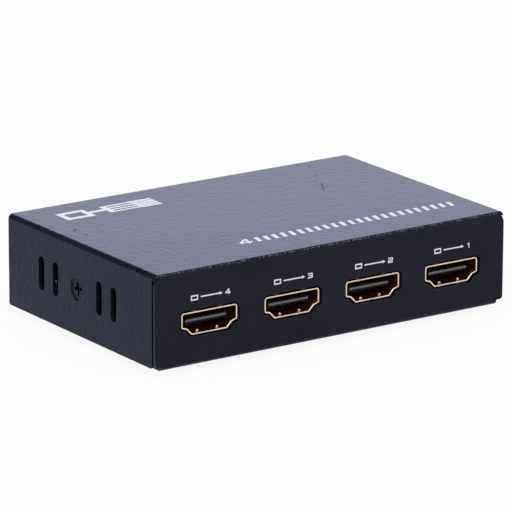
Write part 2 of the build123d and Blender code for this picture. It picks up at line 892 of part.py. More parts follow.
with BuildPart() as power_switch_frame:
    with BuildSketch(switch_mouth):
        Rectangle(switch_width, switch_height)
    extrude(amount=switch_depth)
    with BuildSketch(switch_mouth.offset(switch_wall)):
        Rectangle(switch_width - 2 * switch_wall, switch_height - 2 * switch_wall)
    extrude(amount=switch_depth - switch_wall, mode=Mode.SUBTRACT)
    with BuildSketch(switch_mouth):
        Rectangle(
            lever_width + switch_travel + 2 * slider_end_gap, lever_height + 2 * slider_gap
        )
    extrude(amount=switch_wall, mode=Mode.SUBTRACT)
    with BuildSketch(Plane.XY.offset(board_top_z)):
        for place, width, depth in lug_slots:
            with Locations(place):
                Rectangle(width, depth)
    extrude(amount=-through_board)

terminal_path = [
    (switch_base_front, switch_pin_thickness / 2),
    (terminal_row, switch_pin_thickness / 2),
    (terminal_row, -switch_height / 2 - through_board),
]
switch_terminal = bent_strip(
    side_of(switch_mouth),
    terminal_path,
    switch_pin_thickness,
    switch_pin_width,
    switch_pin_bend_radius,
    Side.RIGHT,
)
with BuildPart() as power_switch_terminals:
    with GridLocations(switch_travel, 0, 3, 1):
        add(switch_terminal)
    with BuildSketch(switch_mouth.offset(switch_base_front)):
        with GridLocations(switch_travel, 0, 3, 1):
            Rectangle(switch_pad_width, switch_pad_height)
    extrude(amount=-switch_pad_thickness)

with BuildPart() as power_switch_base:
    with BuildSketch(switch_mouth.offset(switch_base_front)):
        Rectangle(
            switch_width - 2 * switch_wall - 2 * switch_base_gap,
            switch_height - 2 * switch_wall - 2 * switch_base_gap,
        )
    extrude(amount=switch_depth + switch_base_proud - switch_base_front)
    add(power_switch_terminals.part, mode=Mode.SUBTRACT)

# The slider and its wiper are drawn at the off end of their travel.
with BuildPart() as power_switch_slider:
    with BuildSketch(switch_mouth.offset(switch_wall + slider_gap)):
        with Locations((slider_x, 0)):
            Rectangle(
                switch_width - 2 * switch_wall - switch_travel - 2 * slider_end_gap,
                switch_height - 2 * switch_wall - 2 * slider_gap,
            )
    extrude(amount=slider_depth)
    with BuildSketch(switch_mouth.offset(switch_wall + slider_gap)):
        with Locations((slider_x, 0)):
            Rectangle(lever_width, lever_height)
    extrude(amount=-switch_wall - slider_gap - rear_parts_gap - sheet - lever_proud)
    chamfer(power_switch_slider.faces().sort_by(Axis.Y)[-1].edges(), lever_edge_cut)

wiper_back = switch_base_front - switch_pad_thickness - wiper_gap
with BuildPart() as power_switch_wiper:
    with BuildSketch(plan_of(switch_mouth)):
        with BuildLine():
            FilletPolyline(
                (-slider_x - switch_travel / 2, wiper_back),
                (-slider_x - wiper_flat_width / 2, slider_back + wiper_thickness),
                (-slider_x + wiper_flat_width / 2, slider_back + wiper_thickness),
                (-slider_x + switch_travel / 2, wiper_back),
                radius=wiper_bend_radius,
            )
            offset(amount=wiper_thickness, side=Side.RIGHT)
        make_face()
    extrude(amount=wiper_width / 2, both=True)

# Lamps with bent leads: one for power, then one for each output


def lamp_lens(mouth):
    """A round lamp with a domed end and a flange."""
    with BuildPart() as lens:
        with BuildSketch(side_of(mouth)):
            with BuildLine():
                CenterArc((lamp_radius, 0), lamp_radius, 90, 90)
                Polyline(
                    (lamp_radius, lamp_radius),
                    (lamp_length, lamp_radius),
                    (lamp_length, lamp_flange_radius),
                    (lamp_flange_end, lamp_flange_radius),
                    (lamp_flange_end, 0),
                    (0, 0),
                )
            make_face()
        revolve(axis=Axis(mouth.origin, mouth.z_dir))
    return lens.part


with BuildPart() as power_led:
    add(lamp_lens(lamp_mouths[0]))

with BuildPart() as output_leds:
    for mouth in lamp_mouths[1:]:
        add(lamp_lens(mouth))

lamp_lead_path = [
    (lamp_flange_end, lamp_lead_size / 2),
    (lamp_bend, lamp_lead_size / 2),
    (lamp_bend, -lamp_height - through_board),
]
with BuildPart() as led_leads:
    for mouth in lamp_mouths:
        lead = bent_strip(
            side_of(mouth),
            lamp_lead_path,
            lamp_lead_size,
            lamp_lead_size,
            lamp_lead_radius,
            Side.RIGHT,
        )
        with GridLocations(lamp_lead_pitch, 0, 2, 1):
            add(lead)

# Chips with leads bent down to the board


def chip_body(share, width, length, thickness):
    """A moulded chip that stands just off the board, with a dot at its first lead."""
    x, y = on_board(share)
    bottom = board_top_z + chip_stand
    with BuildPart() as body:
        with BuildSketch(Plane.XY.offset(bottom)):
            with Locations((x, y)):
                Rectangle(width, length)
        extrude(amount=thickness)
        with BuildSketch(Plane.XY.offset(bottom + thickness)):
            with Locations((x - width / 2 + chip_dot_inset, y + length / 2 - chip_dot_inset)):
                Circle(chip_dot_radius)
        extrude(amount=-chip_dot_depth, mode=Mode.SUBTRACT)
    return body.part


def chip_leads(share, thickness, turn, reach, count, pitch, width):
    """The leads on the side of a chip that a turn brings round from +X."""
    upper = chip_stand + thickness / 2 + chip_lead_thickness / 2
    lower = upper - chip_lead_thickness
    ankle = chip_lead_shoulder + chip_lead_slope
    toe = ankle + chip_lead_foot
    with BuildPart() as lead:
        with BuildSketch(Plane.XZ):
            with BuildLine():
                Polyline(
                    (reach, lower),
                    (reach, upper),
                    (reach + chip_lead_shoulder + chip_lead_thickness, upper),
                    (reach + ankle + chip_lead_thickness, chip_lead_thickness),
                    (reach + toe, chip_lead_thickness),
                    (reach + toe, 0),
                    (reach + ankle, 0),
                    (reach + chip_lead_shoulder, lower),
                    close=True,
                )
            make_face()
        extrude(amount=width / 2, both=True)
    where = Location((*on_board(share), board_top_z), (0, 0, turn))
    return [lead.part.moved(where * Location((0, y, 0))) for y in row(count, pitch)]


with BuildPart() as splitter_chip:
    add(chip_body(splitter_place_share, splitter_size, splitter_size, splitter_thickness))

with BuildPart() as splitter_chip_leads:
    for turn in (0, 90, 180, 270):
        add(
            chip_leads(
                splitter_place_share,
                splitter_thickness,
                turn,
                splitter_size / 2,
                splitter_leads_a_side,
                splitter_lead_pitch,
                splitter_lead_width,
            )
        )

with BuildPart() as microcontroller:
    add(
        chip_body(controller_place_share, controller_width, controller_length, controller_thickness)
    )

with BuildPart() as microcontroller_leads:
    for turn in (0, 180):
        add(
            chip_leads(
                controller_place_share,
                controller_thickness,
                turn,
                controller_width / 2,
                controller_leads_a_side,
                controller_lead_pitch,
                controller_lead_width,
            )
        )

with BuildPart() as memory_chips:
    for share in memory_place_shares:
        add(chip_body(share, memory_width, memory_length, memory_thickness))

with BuildPart() as memory_chip_leads:
    for share in memory_place_shares:
        for turn in (0, 180):
            add(
                chip_leads(
                    share,
                    memory_thickness,
                    turn,
                    memory_width / 2,
                    memory_leads_a_side,
                    memory_lead_pitch,
                    memory_lead_width,
                )
            )

with BuildPart() as voltage_regulators:
    for share in regulator_place_shares:
        add(chip_body(share, regulator_width, regulator_length, regulator_thickness))

with BuildPart() as regulator_leads:
    for share in regulator_place_shares:
        for turn, count, width in (
            (270, regulator_pins, regulator_pin_width),
            (90, 1, regulator_tab_width),
        ):
            add(
                chip_leads(
                    share,
                    regulator_thickness,
                    turn,
                    regulator_length / 2,
                    count,
                    regulator_pin_pitch,
                    width,
                )
            )

# Thermal pad and heat sink on the splitter chip

with BuildPart() as thermal_pad:
    with BuildSketch(Plane.XY.offset(sink_bottom_z)):
        with Locations(on_board(splitter_place_share)):
            Rectangle(splitter_size, splitter_size)
    extrude(amount=-pad_thickness)

with BuildPart() as heat_sink:
    with BuildSketch(Plane.XY.offset(sink_bottom_z)):
        with Locations(on_board(splitter_place_share)):
            Rectangle(splitter_size, splitter_size)
    extrude(amount=sink_base)
    with BuildSketch(Plane.XY.offset(sink_bottom_z + sink_base)):
        with Locations(on_board(splitter_place_share)):
            with GridLocations((splitter_size - sink_fin_thickness) / (sink_fins - 1), 0, sink_fins, 1):
                Rectangle(sink_fin_thickness, splitter_size)
    extrude(amount=sink_height - sink_base)

# Storage inductor: a core in a shielding cup

with BuildPart() as inductor_shield:
    with BuildSketch(Plane.XY.offset(board_top_z)):
        with Locations(on_board(inductor_place_share)):
            RectangleRounded(inductor_size, inductor_size, inductor_corner_radius)
    extrude(amount=inductor_height)
    with BuildSketch(Plane.XY.offset(board_top_z + inductor_floor)):
        with Locations(on_board(inductor_place_share)):
            Circle(inductor_core_radius + inductor_core_gap)
    extrude(amount=inductor_height - inductor_floor, mode=Mode.SUBTRACT)

with BuildPart() as inductor_core:
    with BuildSketch(Plane.XY.offset(board_top_z + inductor_floor)):
        with Locations(on_board(inductor_place_share)):
            Circle(inductor_core_radius)
    extrude(amount=inductor_height - inductor_floor)

# Storage capacitors: round cans with a rolled groove, each on a square base

with BuildPart() as capacitor_bases:
    for share in can_place_shares:
        with BuildSketch(Plane.XY.offset(board_top_z)) as can_base:
            with Locations(on_board(share)):
                Rectangle(can_base_size, can_base_size)
            chamfer(can_base.vertices().group_by(Axis.Y)[0], can_base_chamfer)
        extrude(amount=can_base_height)

with BuildPart() as capacitor_cans:
    with BuildSketch(Plane.XY.offset(board_top_z + can_base_height)):
        with Locations(*[on_board(share) for share in can_place_shares]):
            Circle(can_radius)
    extrude(amount=can_height)
    fillet(capacitor_cans.edges().group_by(Axis.Z)[-1], can_edge_radius)
    with BuildSketch(Plane.XY.offset(board_top_z + can_base_height + can_groove_height)):
        with Locations(*[on_board(share) for share in can_place_shares]):
            Circle(can_radius)
            Circle(can_radius - can_groove_depth, mode=Mode.SUBTRACT)
    extrude(amount=can_groove_width, mode=Mode.SUBTRACT)

# Input diode: a moulded body with a strap bent under each end

with BuildPart() as input_diode:
    with BuildSketch(Plane.XY.offset(board_top_z + diode_strap_thickness)):
        with Locations(on_board(diode_place_share)):
            Rectangle(diode_length, diode_width)
    extrude(amount=diode_height - diode_strap_thickness)
    with BuildSketch(Plane.XY.offset(board_top_z)):
        with Locations(on_board(diode_place_share)):
            with GridLocations(diode_length, 0, 2, 1):
                Rectangle(2 * diode_strap_thickness, diode_strap_width)
    extrude(amount=diode_height / 2)

# Crystal: a drawn can on a flat rim, with two round leads

with BuildPart() as crystal_can:
    with BuildSketch(Plane.XY.offset(board_top_z)):
        with Locations(on_board(crystal_place_share)):
            SlotOverall(crystal_length, crystal_width)
    extrude(amount=crystal_rim_height)
    with BuildSketch(Plane.XY.offset(board_top_z + crystal_rim_height)):
        with Locations(on_board(crystal_place_share)):
            SlotOverall(crystal_length - 2 * crystal_rim, crystal_width - 2 * crystal_rim)
    extrude(amount=crystal_height - crystal_rim_height)
    fillet(crystal_can.edges().group_by(Axis.Z)[-1], crystal_edge_radius)

with BuildPart() as crystal_leads:
    with BuildSketch(Plane.XY.offset(board_top_z)):
        with Locations(on_board(crystal_place_share)):
            with GridLocations(crystal_lead_pitch, 0, 2, 1):
                Circle(crystal_lead_radius)
    extrude(amount=-through_board)

# Small chips: ceramic capacitors beside the splitter chip, then resistors and surge arrays
# behind every socket

splitter_x, splitter_y = on_board(splitter_place_share)
with BuildPart() as ceramic_capacitors:
    with BuildSketch(Plane.XY.offset(board_top_z)):
        with Locations((splitter_x, splitter_y)):
            with GridLocations(2 * ceramic_column_offset, ceramic_pitch, 2, ceramics_a_column):
                Rectangle(small_chip_length, small_chip_width)
    extrude(amount=ceramic_height)

with BuildPart() as chip_resistors:
    with BuildSketch(Plane.XY.offset(board_top_z)):
        for mouth in socket_mouths:
            for across in row(resistors_a_port, resistor_pitch):
                with Locations(behind(mouth, across, tail_end + resistor_row_gap)):
                    Rectangle(small_chip_width, small_chip_length)
    extrude(amount=resistor_height)

with BuildPart() as surge_arrays:
    with BuildSketch(Plane.XY.offset(board_top_z)):
        for mouth in socket_mouths:
            for across in row(2, surge_pitch):
                with Locations(behind(mouth, across, tail_end + surge_row_gap)):
                    Rectangle(surge_length, surge_width)
    extrude(amount=surge_height)

# Every piece, under the name of its file

pieces = {
    "top_cover": top_cover,
    "cover_screws": cover_screws,
    "base_tray": base_tray,
    "rubber_feet": rubber_feet,
    "board_standoffs": board_standoffs,
    "board_screws": board_screws,
    "circuit_board": circuit_board,
    "dc_jack_body": dc_jack_body,
    "dc_jack_pin": dc_jack_pin,
    "dc_jack_spring": dc_jack_spring,
    "dc_jack_shunt": dc_jack_shunt,
    "power_switch_frame": power_switch_frame,
    "power_switch_terminals": power_switch_terminals,
    "power_switch_base": power_switch_base,
    "power_switch_slider": power_switch_slider,
    "power_switch_wiper": power_switch_wiper,
    "power_led": power_led,
    "output_leds": output_leds,
    "led_leads": led_leads,
    "splitter_chip": splitter_chip,
    "splitter_chip_leads": splitter_chip_leads,
    "microcontroller": microcontroller,
    "microcontroller_leads": microcontroller_leads,
    "memory_chips": memory_chips,
    "memory_chip_leads": memory_chip_leads,
    "voltage_regulators": voltage_regulators,
    "regulator_leads": regulator_leads,
    "thermal_pad": thermal_pad,
    "heat_sink": heat_sink,
    "inductor_shield": inductor_shield,
    "inductor_core": inductor_core,
    "capacitor_bases": capacitor_bases,
    "capacitor_cans": capacitor_cans,
    "input_diode": input_diode,
    "crystal_can": crystal_can,
    "crystal_leads": crystal_leads,
    "ceramic_capacitors": ceramic_capacitors,
    "chip_resistors": chip_resistors,
    "surge_arrays": surge_arrays,
}
# Output 1 is the socket at the +X end.
socket_names = [f"output_{outputs - index}" for index in range(outputs)] + ["input"]
for name, mouth in zip(socket_names, socket_mouths):
    contacts = socket_contacts(mouth)
    pieces[f"{name}_shell"] = socket_shell(mouth)
    pieces[f"{name}_insulator"] = socket_insulator(mouth, contacts)
    pieces[f"{name}_contacts"] = contacts

for name, piece in pieces.items():
    piece.part.label = name
    export_step(piece.part, f"parts/{name}.step")
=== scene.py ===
"""Looks for a four-output video splitter box of folded, powder-coated steel."""

import json
import math

import bmesh
import bpy
from bpy.props import FloatProperty, FloatVectorProperty, IntProperty, PointerProperty
from mathutils import Matrix, Vector


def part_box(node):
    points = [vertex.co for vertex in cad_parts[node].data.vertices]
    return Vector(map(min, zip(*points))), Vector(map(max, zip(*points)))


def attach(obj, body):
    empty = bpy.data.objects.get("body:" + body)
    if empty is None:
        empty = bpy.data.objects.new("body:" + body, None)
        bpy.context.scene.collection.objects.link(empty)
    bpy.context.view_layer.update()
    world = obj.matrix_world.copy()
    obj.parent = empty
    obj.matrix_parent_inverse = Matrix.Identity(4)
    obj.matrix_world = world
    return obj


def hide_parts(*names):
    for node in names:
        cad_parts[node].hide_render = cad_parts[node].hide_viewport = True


bl_info = {
    "name": "Video splitter looks",
    "version": (1, 0, 0),
    "blender": (4, 5, 0),
    "location": "3D View > Sidebar > Splitter",
    "description": "Gives a folded steel video splitter box its finishes, printed marks and studio",
    "category": "Object",
}

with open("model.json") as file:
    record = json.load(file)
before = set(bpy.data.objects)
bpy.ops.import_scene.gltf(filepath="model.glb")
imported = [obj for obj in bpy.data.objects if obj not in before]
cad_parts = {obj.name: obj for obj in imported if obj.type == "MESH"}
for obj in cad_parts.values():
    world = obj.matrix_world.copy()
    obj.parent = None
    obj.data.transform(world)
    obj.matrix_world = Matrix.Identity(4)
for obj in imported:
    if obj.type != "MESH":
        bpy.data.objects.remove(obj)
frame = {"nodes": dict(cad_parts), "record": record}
NODES = frame["nodes"]
SLOT_OF = {part["node"]: part["material_slot"] for part in frame["record"]["subparts"]}

MM = 0.001
CASE = "case"
OUTPUTS = ("output_1", "output_2", "output_3", "output_4")
SOCKETS = (*OUTPUTS, "input")

COVER_LOW, COVER_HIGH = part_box("top_cover")
TRAY_LOW, TRAY_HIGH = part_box("base_tray")
PANEL_Y = TRAY_LOW.y
REAR_Y = TRAY_HIGH.y
TOP_Z = COVER_HIGH.z


def linear(text):
    """Turns an sRGB hex colour into the linear colour that a shader takes."""
    parts = [int(text[i : i + 2], 16) / 255 for i in (1, 3, 5)]
    return (*[p / 12.92 if p <= 0.04045 else ((p + 0.055) / 1.055) ** 2.4 for p in parts], 1.0)


def colour_property(label, about, text):
    """A colour that a user may change, from its sRGB hex value."""
    return FloatVectorProperty(
        name=label, description=about, subtype="COLOR", size=4, min=0, max=1, default=linear(text),
    )


def length_property(label, about, millimetres):
    """A length that a user may change."""
    return FloatProperty(
        name=label, description=about, unit="LENGTH", subtype="DISTANCE", precision=5,
        default=millimetres * MM,
    )


class CoatLooks(bpy.types.PropertyGroup):
    """The powder coat on the two folded sheets."""

    colour: colour_property("Coat", "Body colour of the black powder coat", "#11131F")
    sheen: colour_property("Sheen", "Blue cast that the coat takes at a low angle", "#97A5FF")
    peel: length_property("Peel size", "Width of one swelling of the orange peel", 0.55)
    peel_depth: length_property("Peel depth", "Height of the orange peel", 0.006)
    ease: length_property("Eased edge", "Rounding of the sheet's cut edges under the coat", 0.1)


class PrintLooks(bpy.types.PropertyGroup):
    """The screen-printed marks."""

    ink: colour_property("Ink", "Colour of the cool white ink", "#F1F5FC")
    thickness: length_property("Ink thickness", "How far the ink stands on the coat", 0.03)
    number_height: length_property("Number height", "Height of a port's number", 1.2)
    bars: IntProperty(
        name="Bars", description="Slanted bars in the top's front band", default=24, min=2,
    )


class SocketLooks(bpy.types.PropertyGroup):
    """The video sockets."""

    plating: colour_property("Plating", "Gold plating of the shells", "#FFE4C4")
    rim: length_property("Rounded rim", "Rounding of a shell's mouth", 0.12)
    bump: length_property("Bump", "Radius of the bump on a spring finger", 0.4)
    moulding: colour_property("Moulding", "Dark moulded insulator", "#17161A")
    # a painted highlight at the tongue's tip
    tongue_highlight: colour_property("Tongue edge", "Paler edge at the tip of the tongue", "#78757E")


class LampLooks(bpy.types.PropertyGroup):
    """The lamps at the rear."""

    power: colour_property("Power lamp", "Tinted lens of the power lamp", "#B01810")
    outputs: colour_property("Output lamps", "Tinted lens of an output lamp", "#3FA53A")


class BoardLooks(bpy.types.PropertyGroup):
    """The circuit board and its small parts."""

    mask: colour_property("Solder mask", "Green of the solder mask over bare board", "#0A2C19")
    track: colour_property("Track", "Green of the solder mask over copper", "#14502B")
    cap_share: FloatProperty(
        name="End cap share", description="Share of a small chip's length under each tinned end",
        subtype="FACTOR", default=0.22, min=0.05, max=0.45,
    )


class StudioLooks(bpy.types.PropertyGroup):
    """The floor, the light and the camera."""

    floor: colour_property("Floor", "Colour of the plain pale floor", "#F2F2F2")
    key: FloatProperty(
        name="Key lamp", description="Power of the large soft lamp", unit="POWER", default=13.0,
    )
    fill: FloatProperty(
        name="Fill", description="Strength of the room's even light", default=0.5, min=0,
    )
    lens: FloatProperty(
        name="Lens", description="Focal length on a 36 mm frame", unit="CAMERA", default=311.5,
    )


# Materials


def add(tree, kind, settings=None, inputs=None):
    """Adds one node. Settings are its properties; inputs are values or the sockets that feed it."""
    made = tree.nodes.new(kind)
    for name, value in (settings or {}).items():
        setattr(made, name, value)
    for name, value in (inputs or {}).items():
        if isinstance(value, bpy.types.NodeSocket):
            tree.links.new(value, made.inputs[name])
        else:
            made.inputs[name].default_value = value
    return made


def blank(name):
    """A new material with its shader, and the Object coordinates that its patterns read."""
    made = bpy.data.materials.new(name)
    made.use_nodes = True
    tree = made.node_tree
    tree.nodes.clear()
    shader = add(tree, "ShaderNodeBsdfPrincipled")
    add(tree, "ShaderNodeOutputMaterial", inputs={"Surface": shader.outputs["BSDF"]})
    place = add(tree, "ShaderNodeTexCoord").outputs["Object"]
    return made, tree, shader, place


def set_shader(shader, **values):
    """Sets constants on the shader's own sockets."""
    for name, value in values.items():
        shader.inputs[name.replace("_", " ")].default_value = value


def feed(tree, shader, tone, rough, normal):
    """Links a tone, a roughness and a relief to the shader."""
    for name, socket in (("Base Color", tone), ("Roughness", rough), ("Normal", normal)):
        tree.links.new(socket, shader.inputs[name])


def calc(tree, operation, *values):
    """One sum on numbers, or on the sockets that give them."""
    settings = {"operation": operation}
    return add(tree, "ShaderNodeMath", settings, dict(enumerate(values))).outputs[0]


def product(tree, first, *masks):
    """Masks multiplied, so that only what lies in all of them is left."""
    for mask in masks:
        first = calc(tree, "MULTIPLY", first, mask)
    return first


def axes(tree, vector):
    """The X, Y and Z of a vector, by those names."""
    return add(tree, "ShaderNodeSeparateXYZ", inputs={0: vector}).outputs


def shade(colour, share):
    """A colour made that much darker or lighter."""
    return [c * share for c in colour[:3]] + [1]


def grain(tree, place, size_mm, detail=2.0, stretch=(1, 1, 1)):
    """Noise with swellings of about that many millimetres, stretched along an axis if asked."""
    spread = add(
        tree, "ShaderNodeMapping",
        inputs={"Vector": place, "Scale": [s / (size_mm * MM) for s in stretch]},
    )
    return add(
        tree, "ShaderNodeTexNoise",
        inputs={"Vector": spread.outputs["Vector"], "Scale": 1.0, "Detail": detail},
    ).outputs["Fac"]


def between(tree, fac, low, high, start=0.35, end=0.65):
    """A number that goes from low to high as fac goes from start to end."""
    return add(
        tree, "ShaderNodeMapRange",
        inputs={"Value": fac, "From Min": start, "From Max": end, "To Min": low, "To Max": high},
    ).outputs["Result"]


def blend_colour(tree, fac, first, second):
    """Mixes two colours, or the sockets that give them."""
    mix = add(tree, "ShaderNodeMix", {"data_type": "RGBA"})
    for socket, value in ((mix.inputs[0], fac), (mix.inputs[6], first), (mix.inputs[7], second)):
        if isinstance(value, bpy.types.NodeSocket):
            tree.links.new(value, socket)
        else:
            socket.default_value = value
    return mix.outputs[2]


def relief(tree, height, depth_mm, below=None):
    """Bump of that depth, on top of another if one is given."""
    inputs = {"Height": height, "Distance": depth_mm * MM, "Strength": 1.0}
    if below is not None:
        inputs["Normal"] = below
    return add(tree, "ShaderNodeBump", inputs=inputs).outputs["Normal"]


# What the real material is, its two tones, metallic, IOR, lowest and highest roughness, size of
# the grain in mm and depth of its relief in mm. Metal that is drawn or turned has the grain's
# stretch in X, Y and Z as well.
FINISHES = {
    # black oxide on steel: almost black, a soft gleam with paler rubbed patches
    "black_screw": ("Black oxide steel", "#0D1019", "#191D2C", 0.7, 1.5, 0.3, 0.5, 0.6, 0.002),
    # pressed synthetic rubber: matt, slightly dusty grey-black
    "foot_rubber": ("Pressed rubber", "#131313", "#201F1F", 0.0, 1.5, 0.65, 0.9, 0.5, 0.01),
    # bright zinc plating: pale blue-grey with a cloudy spangle
    "zinc_steel": ("Zinc plated steel", "#A9ADB3", "#C6C9CC", 1.0, 1.5, 0.25, 0.45, 1.2, 0.003),
    # moulded heat-proof plastic: near black, faint sparkle of a fine eroded mould
    "black_moulding": ("Moulded nylon", "#101012", "#1B1B1E", 0.0, 1.5, 0.4, 0.6, 0.25, 0.006),
    # nickel plated turned pin: bright, with fine turning rings
    "bright_pin": (
        "Nickel plated brass", "#C4C2BB", "#DAD7D0", 1.0, 1.5, 0.12, 0.28, 0.12, 0.001, 1, 9, 1,
    ),
    # rolled spring bronze: warm and drawn along the strip
    "spring_brass": (
        "Rolled spring bronze", "#B48F4E", "#CFAA66", 1.0, 1.5, 0.22, 0.4, 0.3, 0.002, 4, 0.5, 4,
    ),
    # dipped tin: soft grey with slow waves in its gleam
    "tinned_lead": ("Dipped tin", "#AEB0B2", "#C9CACB", 1.0, 1.5, 0.28, 0.48, 0.4, 0.003),
    # pressed paper phenolic: brown with paper fibres
    "brown_phenolic": (
        "Paper phenolic", "#3A1F10", "#57331C", 0.0, 1.5, 0.4, 0.6, 0.3, 0.004, 1, 4, 1,
    ),
    # moulded chip epoxy: charcoal with fine filler grain
    "chip_epoxy": ("Moulded epoxy", "#19191B", "#29292B", 0.0, 1.5, 0.45, 0.65, 0.18, 0.006),
    # soft filled silicone: pale grey, slightly greasy
    "grey_pad": ("Filled silicone", "#7F868C", "#949A9F", 0.0, 1.43, 0.5, 0.75, 0.6, 0.01),
    # extruded and black anodised: satin, with the die's lines along the fins
    "black_anodised": (
        "Black anodised aluminium", "#1A1B1E", "#2A2B2F",
        0.6, 1.5, 0.3, 0.45, 0.2, 0.003, 6, 0.3, 6,
    ),
    # sintered ferrite: dead matt charcoal with pores
    "ferrite": ("Sintered ferrite", "#232226", "#343338", 0.0, 2.0, 0.6, 0.85, 0.22, 0.012),
    # deep-drawn can: bright, with drawing lines up the wall
    "bare_aluminium": (
        "Drawn aluminium", "#C3C6C9", "#D9DBDC", 1.0, 1.5, 0.2, 0.38, 0.25, 0.002, 5, 5, 0.4,
    ),
    # fired ceramic: dull tan with a darker mottle
    "tan_ceramic": ("Fired ceramic", "#7E6247", "#A08263", 0.0, 1.6, 0.45, 0.7, 0.3, 0.004),
    # glazed resistor: shiny black glass over film
    "resistor_film": ("Glazed film", "#0E0E12", "#1A1A22", 0.0, 1.5, 0.15, 0.35, 0.4, 0.002),
    # gold plated stamping: yellow, bright, with faint press lines
    "gold_contact": (
        "Gold plated contact", "#D7A961", "#F0C987", 1.0, 1.5, 0.15, 0.3, 0.2, 0.001, 4, 0.5, 4,
    ),
}
made_materials = {}


def plain_finish(slot):
    """A material from the table: two tones in patches, uneven gleam and a fine relief."""
    if slot in made_materials:
        return made_materials[slot]
    title, low, high, metallic, ior, smooth, rough, size, depth, *stretch = FINISHES[slot]
    stretch = stretch or (1, 1, 1)
    made, tree, shader, place = blank(title)
    patches = grain(tree, place, size * 4, detail=3, stretch=stretch)
    fine = grain(tree, place, size, detail=4, stretch=stretch)
    tone = blend_colour(tree, between(tree, patches, 0, 1), linear(low), linear(high))
    feed(tree, shader, tone, between(tree, fine, smooth, rough), relief(tree, fine, depth))
    set_shader(shader, Metallic=metallic, IOR=ior)
    made_materials[slot] = made
    return made


def dress(nodes, material):
    """Gives CAD nodes a material."""
    for name in nodes:
        piece = NODES[name]
        if not piece.material_slots:
            piece.data.materials.append(material)
        for place in piece.material_slots:
            place.material = material


def nodes_of(slot):
    """The CAD nodes that take their finish from a slot of the record."""
    return [name for name, taken in SLOT_OF.items() if taken == slot]


# Scratches in the coat of the top, in plan in mm: where each starts and ends, and its width
SCRATCHES = (
    ((23.75, 7.1), (27.3, 13.2), 0.2),
    ((24.9, 8.6), (29.6, 11.4), 0.12),
    ((25.6, 10.6), (26.2, 14.6), 0.1),
    ((28.5, 17.0), (30.1, 19.4), 0.14),
    ((32.3, 25.0), (33.0, 26.1), 0.2),
)
# Pits in it: where each starts and its width, and how far they all run
PITS = ((-42.3, 10.3, 0.45), (-42.3, 5.6, 0.35))
PIT_RUN = (0.05, 0.2)


def near_line(tree, place, start, end, width):
    """1 on a line in plan, falling to 0 at its width."""
    start, end = (Vector((*p, TOP_Z / MM)) * MM for p in (start, end))
    run = end - start
    kind = "ShaderNodeVectorMath"
    away = add(tree, kind, {"operation": "SUBTRACT"}, {0: place, 1: start}).outputs[0]
    along = add(tree, kind, {"operation": "DOT_PRODUCT"}, {0: away, 1: run / run.length_squared})
    share = between(tree, along.outputs["Value"], 0, 1, 0, 1)
    foot = add(tree, kind, {"operation": "SCALE"}, {0: run, "Scale": share})
    gap = add(tree, kind, {"operation": "DISTANCE"}, {0: away, 1: foot.outputs[0]})
    return between(tree, gap.outputs["Value"], 1, 0, width * 0.3 * MM, width * MM)


def scratched(tree, place):
    """Where the coat of the top is scratched, in broken lines, or pitted."""
    wear = 0.0
    for start, end, width in SCRATCHES:
        wear = calc(tree, "MAXIMUM", wear, near_line(tree, place, start, end, width))
    gaps = between(tree, grain(tree, place, 0.4, detail=4), 0, 1, 0.44, 0.56)
    broken = calc(tree, "MULTIPLY", wear, gaps)
    for x, y, width in PITS:
        end = (x + PIT_RUN[0], y + PIT_RUN[1])
        broken = calc(tree, "MAXIMUM", broken, near_line(tree, place, (x, y), end, width))
    return broken


def painted_edge_glints(tree, place, parts):
    """Pale specks painted on the cover's front edge as highlights."""
    return product(
        tree,
        between(tree, parts["Y"], 1, 0, COVER_LOW.y + 0.03 * MM, COVER_LOW.y + 0.1 * MM),
        between(tree, parts["Z"], 0, 1, TOP_Z - 0.6 * MM, TOP_Z - 0.5 * MM),
        between(tree, parts["Z"], 1, 0, TOP_Z - 0.22 * MM, TOP_Z - 0.12 * MM),
        between(tree, grain(tree, place, 0.32, detail=4), 0, 1, 0.5, 0.62),
    )


def painted_arris_highlight(tree, place, parts, face):
    """The front panel's upward arrises, lightened in patches as a painted highlight."""
    return product(
        tree,
        between(tree, face["Z"], 0, 1, 0.25, 0.4),
        between(tree, face["Y"], 1, 0, -0.2, -0.05),
        between(tree, parts["Y"], 1, 0, PANEL_Y + 0.1 * MM, PANEL_Y + 0.16 * MM),
        between(tree, grain(tree, place, 0.8, detail=3), 0.25, 1, 0.42, 0.6),
    )


def painted_bend_shade(tree, parts, face):
    """The cover's bends, darkened as painted shade for the dark room that their curve mirrors."""
    return product(
        tree,
        between(tree, face["Z"], 0, 1, 0.1, 0.2),
        between(tree, face["Z"], 1, 0, 0.94, 0.98),
        between(tree, parts["Z"], 0, 1, TOP_Z - 1.3 * MM, TOP_Z - 1.2 * MM),
    )


